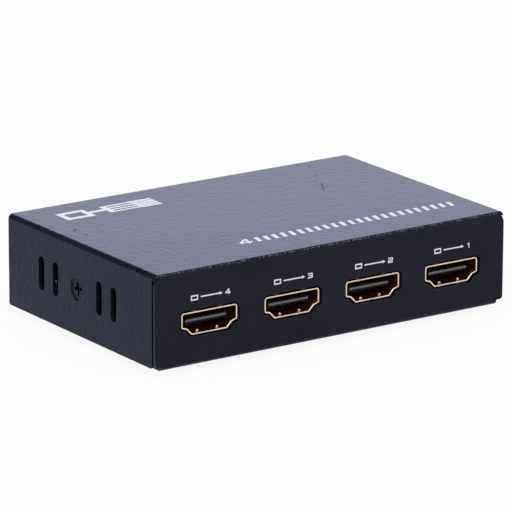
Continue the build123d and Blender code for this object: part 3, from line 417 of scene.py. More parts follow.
def powder_coat(looks):
    """Polyester powder coat, black, baked on steel: near black from above, grey where it lies at a
    low angle to a bright room, with a fine orange peel, painted shade on the bends and pale specks
    painted as highlights along the cut edge."""
    made, tree, shader, place = blank("Black powder coat")
    peel = grain(tree, place, looks.peel / MM, detail=3)
    mottle = grain(tree, place, 1.5, detail=3)
    cloud = grain(tree, place, 12, detail=3)
    paler = shade(looks.colour, 1.5)
    tone = blend_colour(tree, between(tree, cloud, 0, 1), looks.colour, paler)
    broken = scratched(tree, place)
    rough = between(tree, mottle, 0.13, 0.16, 0.3, 0.7)
    inputs = {0: broken, 2: rough, 3: 0.95}
    rough = add(tree, "ShaderNodeMix", {"data_type": "FLOAT"}, inputs).outputs[0]
    parts = axes(tree, place)
    # pale specks on the cover's front edge are painted highlights
    bare = painted_edge_glints(tree, place, parts)
    face = axes(tree, add(tree, "ShaderNodeNewGeometry").outputs["True Normal"])
    # the front panel's upward arrises are lightened as painted highlights
    arris_highlight = painted_arris_highlight(tree, place, parts, face)
    # the bends are darkened as painted shade
    bend_shade = painted_bend_shade(tree, parts, face)
    # the bends take painted shade, the scratches and pits are real wear, and the edge specks and
    # upward arrises take painted highlights
    for mask, text in (
        (bend_shade, "#070709"), (broken, "#33261F"), (bare, "#74777B"), (arris_highlight, "#5A5C63"),
    ):
        tone = blend_colour(tree, mask, tone, linear(text))
    under = relief(tree, mottle, 0.075)
    feed(tree, shader, tone, rough, relief(tree, peel, looks.peel_depth / MM, under))
    set_shader(
        shader, IOR=1.24, Sheen_Weight=1.0, Sheen_Roughness=0.3, Sheen_Tint=tuple(looks.sheen),
    )
    return made


def screen_ink(looks):
    """Screen-printed epoxy ink: cool white, low gleam, a little thin over the peel of the coat."""
    made, tree, shader, place = blank("Screen printed ink")
    thin = grain(tree, place, 0.6, detail=4)
    patches = between(tree, thin, 0, 1, 0.3, 0.7)
    tone = blend_colour(tree, patches, shade(looks.ink, 0.93), looks.ink)
    feed(tree, shader, tone, between(tree, thin, 0.2, 0.34), relief(tree, thin, 0.006))
    set_shader(shader, IOR=1.5)
    return made


# From the sockets' solids: the contacts' pitch, and the heights of the roof and of the tongue
COMB_PITCH = 0.5 * MM
ROOF_Z = 13.825 * MM
TONGUE_Z = 11.25 * MM


def gold_plate(looks):
    """Gold over nickel on a stamped shell: warm and bright, drawn lines along its length."""
    made, tree, shader, place = blank("Gold plated shell")
    drawn = grain(tree, place, 0.15, detail=3, stretch=(3, 0.25, 3))
    patches = grain(tree, place, 2.0, detail=3)
    duller = shade(looks.plating, 0.86)
    tone = blend_colour(tree, between(tree, patches, 0, 1), duller, looks.plating)
    # the mouth's rim keeps the paler plating colour as a painted highlight; behind it the plating
    # is a deeper gold
    parts = axes(tree, place)
    reach = calc(tree, "ABSOLUTE", parts["Y"])
    mouth = abs(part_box("output_1_shell")[0].y)
    rim = between(tree, reach, 0, 1, mouth - 0.3 * MM, mouth - 0.15 * MM)
    tone = blend_colour(tree, rim, linear("#F6C692"), tone)
    # the outside of the roof, in the gap under the panel's edge, is darkened as painted shade from
    # the panel
    face = axes(tree, add(tree, "ShaderNodeNewGeometry").outputs["True Normal"])
    gap_shade = product(
        tree,
        between(tree, parts["Z"], 0, 1, ROOF_Z - 0.3 * MM, ROOF_Z - 0.2 * MM),
        between(tree, face["Z"], 0, 1, 0.3, 0.6),
    )
    tone = blend_colour(tree, gap_shade, tone, linear("#2A1E12"))
    feed(tree, shader, tone, between(tree, drawn, 0.16, 0.3), relief(tree, drawn, 0.0015))
    set_shader(shader, Metallic=1.0)
    return made


def socket_moulding(looks):
    """Moulded liquid-crystal polymer: dark and dull, with a painted highlight at the tip of the
    tongue.
    """
    made, tree, shader, place = blank("Liquid crystal polymer")
    fine = grain(tree, place, 0.3, detail=4, stretch=(1, 0.4, 1))
    parts = axes(tree, place)
    reach = calc(tree, "ABSOLUTE", parts["Y"])
    front = abs(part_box("output_1_insulator")[0].y)
    # the tongue's tip, where light reaches into the mouth, is made paler as a painted highlight
    tip = between(tree, reach, 0, 1, front - 0.22 * MM, front - 0.12 * MM)
    # the painted highlight on the tip follows the comb that the contacts' slots make along its
    # lower half; the slots' arrises stay dark
    along = calc(tree, "PINGPONG", parts["X"], COMB_PITCH / 2)
    slots = between(tree, along, 0, 1, COMB_PITCH * 0.16, COMB_PITCH * 0.26)
    upper = between(tree, parts["Z"], 0, 1, TONGUE_Z - 0.05 * MM, TONGUE_Z)
    tip = product(
        tree, tip,
        calc(tree, "MAXIMUM", slots, upper),
        between(tree, parts["Z"], 0, 1, TONGUE_Z - 0.2 * MM, TONGUE_Z - 0.17 * MM),
        between(tree, parts["Z"], 1, 0, TONGUE_Z + 0.33 * MM, TONGUE_Z + 0.36 * MM),
    )
    darker = shade(looks.moulding, 0.7)
    dark = blend_colour(tree, between(tree, fine, 0, 1), darker, looks.moulding)
    tone = blend_colour(tree, tip, dark, looks.tongue_highlight)
    feed(tree, shader, tone, between(tree, fine, 0.6, 0.8), relief(tree, fine, 0.006))
    set_shader(shader, IOR=1.25)
    return made


def tinted_lens(title, colour):
    """Cast epoxy with a diffusing tint: deep colour, glossy skin, cloudy inside."""
    made, tree, shader, place = blank(title)
    cloud = grain(tree, place, 0.8, detail=3)
    tone = blend_colour(tree, between(tree, cloud, 0, 1), shade(colour, 0.8), colour)
    feed(tree, shader, tone, between(tree, cloud, 0.12, 0.22), relief(tree, cloud, 0.003))
    set_shader(shader, IOR=1.53, Transmission_Weight=0.35, Coat_Weight=0.3, Coat_Roughness=0.05)
    return made


def solder_mask(looks):
    """Liquid solder mask over etched copper: glossy green, paler and raised over the tracks."""
    made, tree, shader, place = blank("Green solder mask")
    tracks = None
    # bands of long bricks one way and the other: their joints are the tracks
    for turn, size in ((0, 2.2), (90, 3.1)):
        lay = add(
            tree, "ShaderNodeMapping",
            inputs={"Vector": place, "Rotation": (0, 0, math.radians(turn)),
                    "Scale": [1 / (size * MM)] * 3},
        )
        rows = add(
            tree, "ShaderNodeTexBrick", {"offset": 0.5},
            {"Vector": lay.outputs["Vector"], "Scale": 1.0, "Mortar Size": 0.09,
             "Mortar Smooth": 0.2, "Brick Width": 2.6, "Row Height": 0.5},
        ).outputs["Fac"]
        tracks = rows if tracks is None else calc(tree, "MAXIMUM", tracks, rows)
    tone = blend_colour(tree, tracks, looks.mask, looks.track)
    fine = grain(tree, place, 0.5, detail=3)
    rough = between(tree, fine, 0.2, 0.34)
    feed(tree, shader, tone, rough, relief(tree, tracks, 0.03, relief(tree, fine, 0.003)))
    set_shader(shader, IOR=1.5)
    return made


# Pieces


def place_piece(name, mesh, material, body):
    """Puts a finished mesh in the scene as a piece that rides on a body."""
    mesh.materials.clear()
    mesh.materials.append(material)
    piece = bpy.data.objects.new(name, mesh)
    bpy.context.scene.collection.objects.link(piece)
    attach(piece, body)
    return piece


# Points nearer than this are one point, and faces turned less than this are one face
MERGE = 0.002 * MM
FLAT = math.radians(0.6)
# The panels' top edges stand this much nearer to the cover than bare sheet: coat fills the gap
EDGE_LIFT = 0.27 * MM
EDGE_DEPTH = 0.7 * MM


def merged_copy(node):
    """A CAD node's mesh with the doubled points along its faces joined."""
    work = bmesh.new()
    work.from_mesh(NODES[node].data)
    bmesh.ops.remove_doubles(work, verts=work.verts, dist=MERGE)
    return work


def join_flats(work):
    """Joins the faces that lie in one plane."""
    bmesh.ops.dissolve_limit(work, angle_limit=FLAT, verts=work.verts, edges=work.edges)


def smooth_mesh(name, work):
    """Ends the work with a mesh of smooth faces."""
    mesh = bpy.data.meshes.new(name)
    work.to_mesh(mesh)
    work.free()
    for layer in [a for a in mesh.attributes if a.name == "custom_normal"]:
        mesh.attributes.remove(layer)
    mesh.polygons.foreach_set("use_smooth", [True] * len(mesh.polygons))
    return mesh


def work_object(name, mesh):
    """An object to run modifiers on."""
    holder = bpy.data.objects.new(f"{name}_work", mesh)
    bpy.context.scene.collection.objects.link(holder)
    return holder


def plain_result(holder):
    """The plain mesh that a work object's modifiers give, and the end of that object."""
    bpy.context.view_layer.update()
    seen = holder.evaluated_get(bpy.context.evaluated_depsgraph_get())
    mesh = bpy.data.meshes.new_from_object(seen)
    holder.modifiers.clear()
    bpy.data.objects.remove(holder)
    return mesh


def eased_sheet(node, width):
    """A copy of a folded sheet with its cut edges rounded, as a coat rounds them."""
    work = merged_copy(node)
    if node == "base_tray":
        for corner in work.verts:
            if corner.co.z > TRAY_HIGH.z - EDGE_DEPTH:
                corner.co.z += EDGE_LIFT
    join_flats(work)
    rough = work_object(f"eased_{node}", smooth_mesh(f"eased_{node}", work))
    ease = rough.modifiers.new("Ease", "BEVEL")
    ease.width = width
    ease.segments = 2
    ease.limit_method = "ANGLE"
    ease.angle_limit = math.radians(35)
    ease.use_clamp_overlap = True
    ease.harden_normals = True
    weigh = rough.modifiers.new("Weigh", "WEIGHTED_NORMAL")
    weigh.mode = "FACE_AREA"
    weigh.weight = 100
    return plain_result(rough)


def rounded_mouth(node, width):
    """A copy of a socket's shell with the rim of its mouth rounded, as drawn sheet is."""
    work = merged_copy(node)
    join_flats(work)
    mouth = max(abs(corner.co.y) for corner in work.verts) - 0.01 * MM
    arrises = [
        edge for edge in work.edges
        if all(abs(corner.co.y) > mouth for corner in edge.verts)
        and edge.calc_face_angle(0) > math.radians(60)
    ]
    bmesh.ops.bevel(
        work, geom=arrises, offset=width, segments=4, profile=0.5, affect="EDGES",
        clamp_overlap=False,
    )
    mesh = smooth_mesh(f"rounded_{node}", work)
    mesh.set_sharp_from_angle(angle=math.radians(40))
    return mesh


def raised(work, outline, place, thickness):
    """Adds one flat shape of an outline in mm, raised from its surface by the ink's thickness."""
    low = [work.verts.new(place(u * MM, v * MM, 0)) for u, v in outline]
    high = [work.verts.new(place(u * MM, v * MM, thickness)) for u, v in outline]
    work.faces.new(high)
    work.faces.new(low[::-1])
    for i in range(len(outline)):
        j = (i + 1) % len(outline)
        work.faces.new((low[i], low[j], high[j], high[i]))


def on_top(u, v, h):
    """From a mark's plan to the top of the case."""
    return Vector((u, v, TOP_Z + h))


def on_front(u, v, h):
    """From a mark's plan to the front panel."""
    return Vector((u, PANEL_Y - h, v))


def on_rear(u, v, h):
    """From a mark's plan to the rear panel, read from behind."""
    return Vector((-u, REAR_Y + h, v))


def box_outline(left, bottom, right, top):
    """A rectangle's corners."""
    return [(left, bottom), (right, bottom), (right, top), (left, top)]


def number_shapes(number, height):
    """A squared number, as outlines that start at its lower left corner."""
    h = height
    w, s = h * 1.08, h * 0.21
    low, high, inner = (h - s) / 2, (h + s) / 2, w - s
    flag, post = 0.14 * w, 0.42 * w
    stem, bar = w * 0.6, h * 0.2
    return {
        1: [[(post, 0), (post + s, 0), (post + s, h), (post, h), (flag, 0.8 * h), (flag, 0.6 * h),
             (post, 0.78 * h)]],
        2: [[(0, 0), (w, 0), (w, s), (s, s), (s, low), (w, low), (w, h), (0, h), (0, h - s),
             (inner, h - s), (inner, high), (0, high)]],
        3: [[(0, 0), (w, 0), (w, h), (0, h), (0, h - s), (inner, h - s), (inner, high), (s, high),
             (s, low), (inner, low), (inner, s), (0, s)]],
        4: [box_outline(stem, 0, stem + s, h),
            box_outline(0, bar, stem, bar + s),
            box_outline(stem + s, bar, w, bar + s),
            [(0, bar + s), (0.27 * w, bar + s), (stem, 0.79 * h), (stem, h), (0.5 * w, h)]],
    }[number]


def frame_shapes(left, bottom, right, top, stroke):
    """A hollow rectangle as four strips that meet at mitred corners."""
    outer = box_outline(left, bottom, right, top)
    inner = box_outline(left + stroke, bottom + stroke, right - stroke, top - stroke)
    return [[outer[i], outer[(i + 1) % 4], inner[(i + 1) % 4], inner[i]] for i in range(4)]


def moved(outline, across, up, slant=0.0):
    """An outline shifted in its plane, and leaned to the right if asked."""
    return [(u + across + slant * v, v + up) for u, v in outline]


def marks_mesh(name, shapes, place, thickness):
    """One mesh of many raised flat shapes."""
    work = bmesh.new()
    for outline in shapes:
        raised(work, outline, place, thickness)
    bmesh.ops.recalc_face_normals(work, faces=work.faces)
    mesh = bpy.data.meshes.new(name)
    work.to_mesh(mesh)
    work.free()
    return mesh


def port_mark(middle, number, height):
    """An arrow out of a small screen, then the port's number, centred over its socket."""
    half, stroke, screen = 5.15, 0.3, 1.9
    start, head, head_half, gap = 2.6, 0.8, 0.38, 0.75
    left, right = middle - half, middle + half
    number_left = right - height
    tip = number_left - gap
    tail, neck, mid = left + start, tip - head, height / 2
    low, high = mid - stroke / 2, mid + stroke / 2
    arrow = [(tail, low), (neck, low), (neck, mid - head_half), (tip, mid),
             (neck, mid + head_half), (neck, high), (tail, high)]
    return [
        *frame_shapes(left, 0, left + screen, height, stroke),
        arrow,
        *[moved(shape, number_left, 0) for shape in number_shapes(number, height)],
    ]


def run_tree(name, start, tree, values, body, material):
    """Runs a geometry tree on a mesh and keeps the result as a plain piece."""
    holder = work_object(name, start)
    modifier = holder.modifiers.new("Repeat", "NODES")
    modifier.node_group = tree
    for item in tree.interface.items_tree:
        if item.item_type == "SOCKET" and item.in_out == "INPUT" and item.name in values:
            modifier[item.identifier] = values[item.name]
    mesh = plain_result(holder)
    mesh.name = name
    return place_piece(name, mesh, material, body)


def new_tree(name, inputs):
    """An empty geometry tree with named inputs, and the sockets that give them."""
    tree = bpy.data.node_groups.new(name, "GeometryNodeTree")
    tree.interface.new_socket("Geometry", in_out="INPUT", socket_type="NodeSocketGeometry")
    for title, kind, default in inputs:
        socket = tree.interface.new_socket(title, in_out="INPUT", socket_type=kind)
        socket.default_value = default
    tree.interface.new_socket("Geometry", in_out="OUTPUT", socket_type="NodeSocketGeometry")
    return tree, add(tree, "NodeGroupInput").outputs


def repeated(tree, points, piece, **inputs):
    """A piece on each point, as real geometry."""
    inputs.update(Points=points, Instance=piece)
    row = add(tree, "GeometryNodeInstanceOnPoints", inputs=inputs).outputs["Instances"]
    return add(tree, "GeometryNodeRealizeInstances", inputs={"Geometry": row}).outputs[0]


def end_tree(tree, geometry, material):
    """Gives the geometry its material and sends it out."""
    inputs = {"Geometry": geometry, "Material": material}
    dressed = add(tree, "GeometryNodeSetMaterial", inputs=inputs)
    add(tree, "NodeGroupOutput", inputs={"Geometry": dressed.outputs[0]})
    return tree


def bar_tree(material):
    """A row of slanted bars, one at each step of a line."""
    tree, given = new_tree(
        "Row of slanted bars",
        [("Count", "NodeSocketInt", 8), ("Step", "NodeSocketVector", (0.002, 0, 0)),
         ("Bar", "NodeSocketVector", (0.0005, 0.003, 0.00003)),
         ("Slant", "NodeSocketFloat", 0.2)],
    )
    inputs = {"Count": given["Count"], "Offset": given["Step"]}
    line = add(tree, "GeometryNodeMeshLine", inputs=inputs)
    bar = add(tree, "GeometryNodeMeshCube", inputs={"Size": given["Bar"]})
    real = repeated(tree, line.outputs["Mesh"], bar.outputs["Mesh"])
    where = axes(tree, add(tree, "GeometryNodeInputPosition").outputs[0])
    lean = calc(tree, "MULTIPLY", where["Y"], given["Slant"])
    shift = add(tree, "ShaderNodeCombineXYZ", inputs={"X": lean})
    inputs = {"Geometry": real, "Offset": shift.outputs[0]}
    leaned = add(tree, "GeometryNodeSetPosition", inputs=inputs)
    return end_tree(tree, leaned.outputs[0], material)


def cap_tree(material):
    """A tinned cap round each end of a small chip: a box on each point, of the point's size."""
    tree, given = new_tree("Tinned end caps", [("Grow", "NodeSocketFloat", 1.02)])
    size = add(
        tree, "GeometryNodeInputNamedAttribute", {"data_type": "FLOAT_VECTOR"},
        {"Name": "cap_size"},
    )
    inputs = {0: size.outputs["Attribute"], "Scale": given["Grow"]}
    grown = add(tree, "ShaderNodeVectorMath", {"operation": "SCALE"}, inputs)
    cap = add(tree, "GeometryNodeMeshCube", inputs={"Size": (1, 1, 1)})
    real = repeated(tree, given["Geometry"], cap.outputs["Mesh"], Scale=grown.outputs[0])
    return end_tree(tree, real, material)


def dome_tree(material):
    """A low dome on each point: the bump of a spring finger, seen from inside the shell."""
    tree, given = new_tree(
        "Finger bumps",
        [("Radius", "NodeSocketFloat", 0.0004), ("Flatness", "NodeSocketFloat", 0.6)],
    )
    inputs = {"Segments": 20, "Rings": 12, "Radius": given["Radius"]}
    ball = add(tree, "GeometryNodeMeshUVSphere", inputs=inputs)
    flat = add(tree, "ShaderNodeCombineXYZ", inputs={0: 1.0, 1: 1.0, 2: given["Flatness"]})
    inputs = {"Geometry": ball.outputs["Mesh"], "Scale": flat.outputs[0]}
    low = add(tree, "GeometryNodeTransform", inputs=inputs)
    real = repeated(tree, given["Geometry"], low.outputs[0])
    smooth = add(tree, "GeometryNodeSetShadeSmooth", inputs={"Geometry": real})
    return end_tree(tree, smooth.outputs[0], material)


def blocks_of(node):
    """The lowest and highest corner of each separate block in a CAD node."""
    work = merged_copy(node)
    left, found = set(work.verts), []
    while left:
        block, edge = set(), [left.pop()]
        while edge:
            corner = edge.pop()
            block.add(corner)
            for side in corner.link_edges:
                other = side.other_vert(corner)
                if other in left:
                    left.discard(other)
                    edge.append(other)
        low = Vector([min(v.co[i] for v in block) for i in range(3)])
        high = Vector([max(v.co[i] for v in block) for i in range(3)])
        found.append((low, high))
    work.free()
    return sorted(found, key=lambda pair: tuple(round(c, 6) for c in pair[0]))


def cap_points(node, share):
    """A point in each end of each block of a node, with the size of the cap there."""
    points, sizes = [], []
    for low, high in blocks_of(node):
        size = high - low
        axis = 0 if size.x > size.y else 1
        cap = size.copy()
        cap[axis] = size[axis] * share
        for end in (-1, 1):
            middle = (low + high) / 2
            middle[axis] += end * (size[axis] - cap[axis]) / 2
            points.append(middle)
            sizes.append(cap)
    mesh = bpy.data.meshes.new(f"{node}_cap_points")
    mesh.from_pydata(points, [], [])
    held = mesh.attributes.new("cap_size", "FLOAT_VECTOR", "POINT")
    held.data.foreach_set("vector", [c for size in sizes for c in size])
    return mesh


# The marks' places and sizes, in mm. A box is left, right, bottom and top.
PORT_MARK_Z = 16.35
BAND = (-18.0, 40.8, -20.3, -17.15)
BAND_SLANT = 0.22
BAR_WIDTH = 1.05
NUMBER_ROOM = 1.75  # the room that the band's number takes, in heights of the band
LAMP_NUMBER = 1.3
LAMP_GAP = 1.0
SYMBOL = (-39.1, -13.6, 18.0, 23.8)


def splitting_symbol():
    """One screen on the left, a line that splits in four, and four small screens on the right."""
    left, right, bottom, top = SYMBOL
    mid = (bottom + top) / 2
    stroke, branch, block = 1.4, 0.8, 1.25
    screen, bus, end = left + 7.4, left + 11.6, right - 6.0
    shapes = frame_shapes(left, bottom, screen, top, stroke)
    shapes.append(box_outline(screen, mid - stroke / 2, bus, mid + stroke / 2))
    pitch = (top - bottom - block) / 3
    rows = [bottom + block / 2 + pitch * i for i in range(4)]
    shapes.append(box_outline(bus, rows[0] - branch / 2, bus + stroke, rows[-1] + branch / 2))
    for up in rows:
        shapes.append(box_outline(bus + stroke, up - branch / 2, end, up + branch / 2))
        shapes.append(box_outline(end, up - block / 2, right, up + block / 2))
    return shapes


# Operators


class SPLITTER_OT_case(bpy.types.Operator):
    """Finishes the folded top cover and base tray in black powder coat"""

    bl_idname = "splitter.finish_case"
    bl_label = "Case sheets"

    def execute(self, context):
        looks = context.scene.splitter_coat
        coat = powder_coat(looks)
        for node in ("top_cover", "base_tray"):
            dress([node], coat)
            sheet = eased_sheet(node, looks.ease)
            piece = place_piece(f"coated_{node}", sheet, coat, CASE)
            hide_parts(node)
        return {"FINISHED"}


class SPLITTER_OT_marks(bpy.types.Operator):
    """Prints the port numbers, the splitting symbol and the band of bars"""

    bl_idname = "splitter.print_marks"
    bl_label = "Printed marks"

    def execute(self, context):
        looks = context.scene.splitter_print
        ink = screen_ink(looks)
        thickness = looks.thickness

        def print_marks(name, shapes, place):
            place_piece(name, marks_mesh(name, shapes, place, thickness), ink, CASE)

        shapes = []
        for index, name in enumerate(OUTPUTS, 1):
            low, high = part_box(f"{name}_shell")
            mark = port_mark((low.x + high.x) / 2 / MM, index, looks.number_height / MM)
            shapes += [moved(shape, 0, PORT_MARK_Z) for shape in mark]
        print_marks("port_marks", shapes, on_front)
        print_marks("splitting_symbol", splitting_symbol(), on_top)

        left, right, bottom, top = BAND
        height = top - bottom
        digit = [moved(shape, left, bottom, BAND_SLANT) for shape in number_shapes(4, height)]
        print_marks("band_number", digit, on_top)
        first = left + height * NUMBER_ROOM
        step = (right - first) / (looks.bars - 1)
        values = {"Count": looks.bars, "Step": (step * MM, 0, 0),
                  "Bar": (BAR_WIDTH * MM, height * MM, thickness), "Slant": BAND_SLANT}
        start = bpy.data.meshes.new("band_start")
        row = run_tree("band_bars", start, bar_tree(ink), values, CASE, ink)
        middle = (first * MM, (bottom + top) / 2 * MM, TOP_Z + thickness / 2)
        row.data.transform(Matrix.Translation(middle))

        lamps = []
        for index, (low, high) in enumerate(blocks_of("output_leds"), 1):
            across = -(low.x + high.x) / 2 / MM - LAMP_NUMBER / 2
            up = high.z / MM + LAMP_GAP
            lamps += [moved(shape, across, up) for shape in number_shapes(index, LAMP_NUMBER)]
        print_marks("lamp_numbers", lamps, on_rear)
        return {"FINISHED"}


# Where the spring fingers' bumps stand on a socket's floor, from its middle and its mouth
BUMP_ACROSS = 2.6 * MM
BUMP_BEHIND = 1.15 * MM
BUMP_Z = 8.95 * MM


class SPLITTER_OT_sockets(bpy.types.Operator):
    """Finishes the gold plated sockets and their mouldings"""

    bl_idname = "splitter.finish_sockets"
    bl_label = "Video sockets"

    def execute(self, context):
        looks = context.scene.splitter_sockets
        gold = gold_plate(looks)
        dress([f"{name}_shell" for name in SOCKETS], gold)
        for name in SOCKETS:
            shell = rounded_mouth(f"{name}_shell", looks.rim)
            piece = place_piece(f"rounded_{name}_shell", shell, gold, CASE)
            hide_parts(f"{name}_shell")
        spots = []
        for name in OUTPUTS:
            low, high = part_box(f"{name}_shell")
            middle = (low.x + high.x) / 2
            for side in (-1, 1):
                spots.append((middle + side * BUMP_ACROSS, low.y + BUMP_BEHIND, BUMP_Z))
        start = bpy.data.meshes.new("bump_spots")
        start.from_pydata(spots, [], [])
        values = {"Radius": looks.bump, "Flatness": 1.0}
        run_tree("finger_bumps", start, dome_tree(gold), values, CASE, gold)
        dress([f"{name}_insulator" for name in SOCKETS], socket_moulding(looks))
        dress([f"{name}_contacts" for name in SOCKETS], plain_finish("gold_contact"))
        return {"FINISHED"}


class SPLITTER_OT_rear(bpy.types.Operator):
    """Finishes the power jack, the switch and the lamps"""

    bl_idname = "splitter.finish_rear"
    bl_label = "Jack, switch and lamps"

    def execute(self, context):
        looks = context.scene.splitter_lamps
        for slot in ("bright_pin", "spring_brass", "brown_phenolic"):
            dress(nodes_of(slot), plain_finish(slot))
        dress(["dc_jack_body", "power_switch_slider"], plain_finish("black_moulding"))
        dress(["power_switch_frame"], plain_finish("zinc_steel"))
        dress(["power_switch_terminals"], plain_finish("tinned_lead"))
        dress(["power_led"], tinted_lens("Red lamp epoxy", looks.power))
        dress(["output_leds"], tinted_lens("Green lamp epoxy", looks.outputs))
        return {"FINISHED"}


class SPLITTER_OT_fasteners(bpy.types.Operator):
    """Finishes the screws, standoffs and feet"""

    bl_idname = "splitter.finish_fasteners"
    bl_label = "Screws and feet"

    def execute(self, context):
        dress(nodes_of("black_screw"), plain_finish("black_screw"))
        dress(["board_standoffs", "board_screws"], plain_finish("zinc_steel"))
        dress(nodes_of("foot_rubber"), plain_finish("foot_rubber"))
        return {"FINISHED"}


class SPLITTER_OT_board(bpy.types.Operator):
    """Finishes the circuit board and everything soldered to it"""

    bl_idname = "splitter.finish_board"
    bl_label = "Circuit board"

    def execute(self, context):
        looks = context.scene.splitter_board
        dress(["circuit_board"], solder_mask(looks))
        for slot in (
            "chip_epoxy", "grey_pad", "black_anodised", "ferrite", "bare_aluminium",
            "tan_ceramic", "resistor_film", "tinned_lead",
        ):
            dress(nodes_of(slot), plain_finish(slot))
        dress(["capacitor_bases"], plain_finish("black_moulding"))
        tin = plain_finish("tinned_lead")
        tree = cap_tree(tin)
        for node in ("ceramic_capacitors", "chip_resistors", "surge_arrays"):
            ends = cap_points(node, looks.cap_share)
            values = {"Grow": 1.03}
            run_tree(f"{node}_end_caps", ends, tree, values, CASE, tin)
        return {"FINISHED"}


# The photograph's camera, solved from the straight edges of the case
CAMERA_BACK = Vector((-0.5454, -0.7909, 0.2774)).normalized()
CAMERA_TARGET = Vector((-1.33, -1.75, 13.80)) * MM
CAMERA_AWAY = 1006.4 * MM
CAMERA_ROLL = math.radians(0.206)
CAMERA_REACH = (0.05, 20)
SENSOR_WIDTH = 36

# How far the floor is lifted to white where the camera or a gloss sees it; its shadow keeps the
# rest. Beside the case's left side, gloss sees it dimmer and cooler than before the front.
FLOOR_SIZE = 6
FLOOR_GLOW = 1.03
FLOOR_LIFT_SEEN = 0.88
FLOOR_LIFT_MIRRORED = 0.4
FLOOR_LIFT_BESIDE = FLOOR_LIFT_MIRRORED * 0.8
FLOOR_CAST_BESIDE = (0.68, 0.88, 1.04, 1)
BESIDE_FROM, BESIDE_TO = -0.07, -0.045

# What gloss sees of the room: a bright band up to one height, a darker room from another, and
# dimmer towards the left
WHITE = (1, 1, 1, 1)
BAND_CAST = (0.97, 0.99, 1.1, 1)
BAND_BRIGHT, ROOM_BRIGHT = 1.45, 0.14
BAND_END, ROOM_START = (math.sin(math.radians(angle)) for angle in (22, 34))
LEFT_DIM, LEFT_FROM, LEFT_TO = 0.22, -0.4, 0.1

# Name, place, size and share of the key lamp's power; both look at a point in the case
LAMPS = (
    ("key_lamp", (-0.7, -1.1, 1.3), 1.2, 1.0),
    ("side_lamp", (-1.4, 0.2, 0.9), 1.0, 0.15),
)
LAMPS_AIM = Vector((0, 0, 0.01))


def rays(tree):
    """Whether the camera sees a point, and whether a gloss or a lens does."""
    ray = add(tree, "ShaderNodeLightPath").outputs
    gloss = calc(tree, "MAXIMUM", ray["Is Glossy Ray"], ray["Is Transmission Ray"])
    return ray["Is Camera Ray"], gloss


def make_floor(looks):
    """A plain pale floor, lifted to white where it is seen."""
    bpy.ops.mesh.primitive_plane_add(size=FLOOR_SIZE, location=(0, 0, 0))
    floor = bpy.context.object
    floor.name = "studio_floor"
    paper, tree, shader, place = blank("Pale paper")
    fibres = grain(tree, place, 400)
    tone = blend_colour(tree, fibres, looks.floor, shade(looks.floor, 0.98))
    tree.links.new(tone, shader.inputs["Base Color"])
    set_shader(shader, Roughness=0.9, IOR=1.3)
    seen, gloss = rays(tree)
    lift = calc(tree, "MULTIPLY", seen, FLOOR_LIFT_SEEN)
    ahead = between(tree, axes(tree, place)["X"], 0, 1, BESIDE_FROM, BESIDE_TO)
    share = between(tree, ahead, FLOOR_LIFT_BESIDE, FLOOR_LIFT_MIRRORED, 0, 1)
    lift = calc(tree, "ADD", calc(tree, "MULTIPLY", gloss, share), lift)
    plain = calc(tree, "MAXIMUM", ahead, seen)
    cast = blend_colour(tree, plain, FLOOR_CAST_BESIDE, WHITE)
    glow = add(tree, "ShaderNodeEmission", inputs={"Color": cast, "Strength": FLOOR_GLOW})
    mix = {0: lift, 1: shader.outputs[0], 2: glow.outputs[0]}
    lifted = add(tree, "ShaderNodeMixShader", inputs=mix)
    out = next(n for n in tree.nodes if n.type == "OUTPUT_MATERIAL")
    tree.links.new(lifted.outputs[0], out.inputs["Surface"])
    floor.data.materials.append(paper)


def make_room(scene, looks):
    """White to the camera, a band of bright backdrop to gloss, and even light to the rest."""
    world = bpy.data.worlds.new("Studio room")
    scene.world = world
    world.use_nodes = True
    tree = world.node_tree
    tree.nodes.clear()
    towards = axes(tree, add(tree, "ShaderNodeTexCoord").outputs["Generated"])
    band = between(tree, towards["Z"], BAND_BRIGHT, ROOM_BRIGHT, BAND_END, ROOM_START)
    dimmer = between(tree, towards["X"], LEFT_DIM, 1, LEFT_FROM, LEFT_TO)
    band = calc(tree, "MULTIPLY", band, dimmer)
    shine, fill, white = (
        add(tree, "ShaderNodeBackground", inputs={"Color": colour, "Strength": strength}).outputs[0]
        for colour, strength in ((BAND_CAST, band), (WHITE, looks.fill), (WHITE, 1.0))
    )
    seen, gloss = rays(tree)
    first = add(tree, "ShaderNodeMixShader", inputs={0: gloss, 1: fill, 2: shine})
    last = add(tree, "ShaderNodeMixShader", inputs={0: seen, 1: first.outputs[0], 2: white})
    add(tree, "ShaderNodeOutputWorld", inputs={"Surface": last.outputs[0]})


def make_lamps(scene, looks):
    """Two soft square lamps."""
    for name, spot, size, share in LAMPS:
        lamp = bpy.data.lights.new(name, "AREA")
        lamp.shape = "SQUARE"
        lamp.size = size
        lamp.energy = looks.key * share
        holder = bpy.data.objects.new(name, lamp)
        scene.collection.objects.link(holder)
        holder.location = spot
        aim = (LAMPS_AIM - Vector(spot)).to_track_quat("-Z", "Y")
        holder.rotation_euler = aim.to_euler()


def make_camera(scene, looks):
    """The photograph's camera."""
    lens = bpy.data.cameras.new("photo_camera")
    lens.sensor_width = SENSOR_WIDTH
    lens.lens = looks.lens
    lens.clip_start, lens.clip_end = CAMERA_REACH
    camera = bpy.data.objects.new("photo_camera", lens)
    scene.collection.objects.link(camera)
    level = Vector((0, 0, 1)).cross(CAMERA_BACK).normalized()
    rise = CAMERA_BACK.cross(level)
    across = level * math.cos(CAMERA_ROLL) + rise * math.sin(CAMERA_ROLL)
    upright = CAMERA_BACK.cross(across)
    turn = Matrix((across, upright, CAMERA_BACK)).transposed().to_4x4()
    turn.translation = CAMERA_TARGET + CAMERA_BACK * CAMERA_AWAY
    camera.matrix_world = turn
    scene.camera = camera


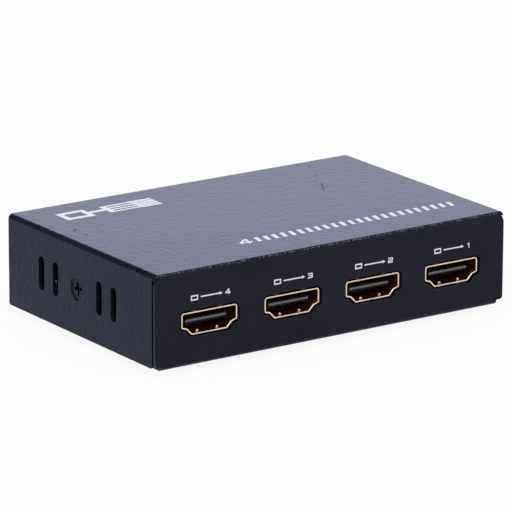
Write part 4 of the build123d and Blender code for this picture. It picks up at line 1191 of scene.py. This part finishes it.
class SPLITTER_OT_studio(bpy.types.Operator):
    """Sets the plain pale floor, the soft light and the camera"""

    bl_idname = "splitter.set_studio"
    bl_label = "Studio"

    def execute(self, context):
        looks = context.scene.splitter_studio
        scene = context.scene
        scene.view_settings.view_transform = "Standard"
        make_floor(looks)
        make_room(scene, looks)
        make_lamps(scene, looks)
        make_camera(scene, looks)
        return {"FINISHED"}


GROUPS = {
    "splitter_coat": CoatLooks,
    "splitter_print": PrintLooks,
    "splitter_sockets": SocketLooks,
    "splitter_lamps": LampLooks,
    "splitter_board": BoardLooks,
    "splitter_studio": StudioLooks,
}
OPERATORS = (
    SPLITTER_OT_case,
    SPLITTER_OT_marks,
    SPLITTER_OT_sockets,
    SPLITTER_OT_rear,
    SPLITTER_OT_fasteners,
    SPLITTER_OT_board,
    SPLITTER_OT_studio,
)


class SPLITTER_PT_looks(bpy.types.Panel):
    """Lists the splitter's looks and the steps that make them"""

    bl_idname = "SPLITTER_PT_looks"
    bl_label = "Video splitter"
    bl_space_type = "VIEW_3D"
    bl_region_type = "UI"
    bl_category = "Splitter"

    def draw(self, context):
        for name, group in GROUPS.items():
            box = self.layout.box()
            for key in group.__annotations__:
                box.prop(getattr(context.scene, name), key)
        for operator in OPERATORS:
            self.layout.operator(operator.bl_idname)


def register():
    """Adds the looks, the steps and the panel."""
    for group in GROUPS.values():
        bpy.utils.register_class(group)
    for operator in OPERATORS:
        bpy.utils.register_class(operator)
    bpy.utils.register_class(SPLITTER_PT_looks)
    for name, group in GROUPS.items():
        setattr(bpy.types.Scene, name, PointerProperty(type=group))


def unregister():
    """Takes them out again."""
    for name in GROUPS:
        delattr(bpy.types.Scene, name)
    bpy.utils.unregister_class(SPLITTER_PT_looks)
    for operator in reversed(OPERATORS):
        bpy.utils.unregister_class(operator)
    for group in reversed(GROUPS.values()):
        bpy.utils.unregister_class(group)


def main():
    """Runs every step in order."""
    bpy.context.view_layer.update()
    register()
    bpy.ops.splitter.finish_case()
    bpy.ops.splitter.print_marks()
    bpy.ops.splitter.finish_sockets()
    bpy.ops.splitter.finish_rear()
    bpy.ops.splitter.finish_fasteners()
    bpy.ops.splitter.finish_board()
    bpy.ops.splitter.set_studio()


if __name__ == "__main__":
    main()
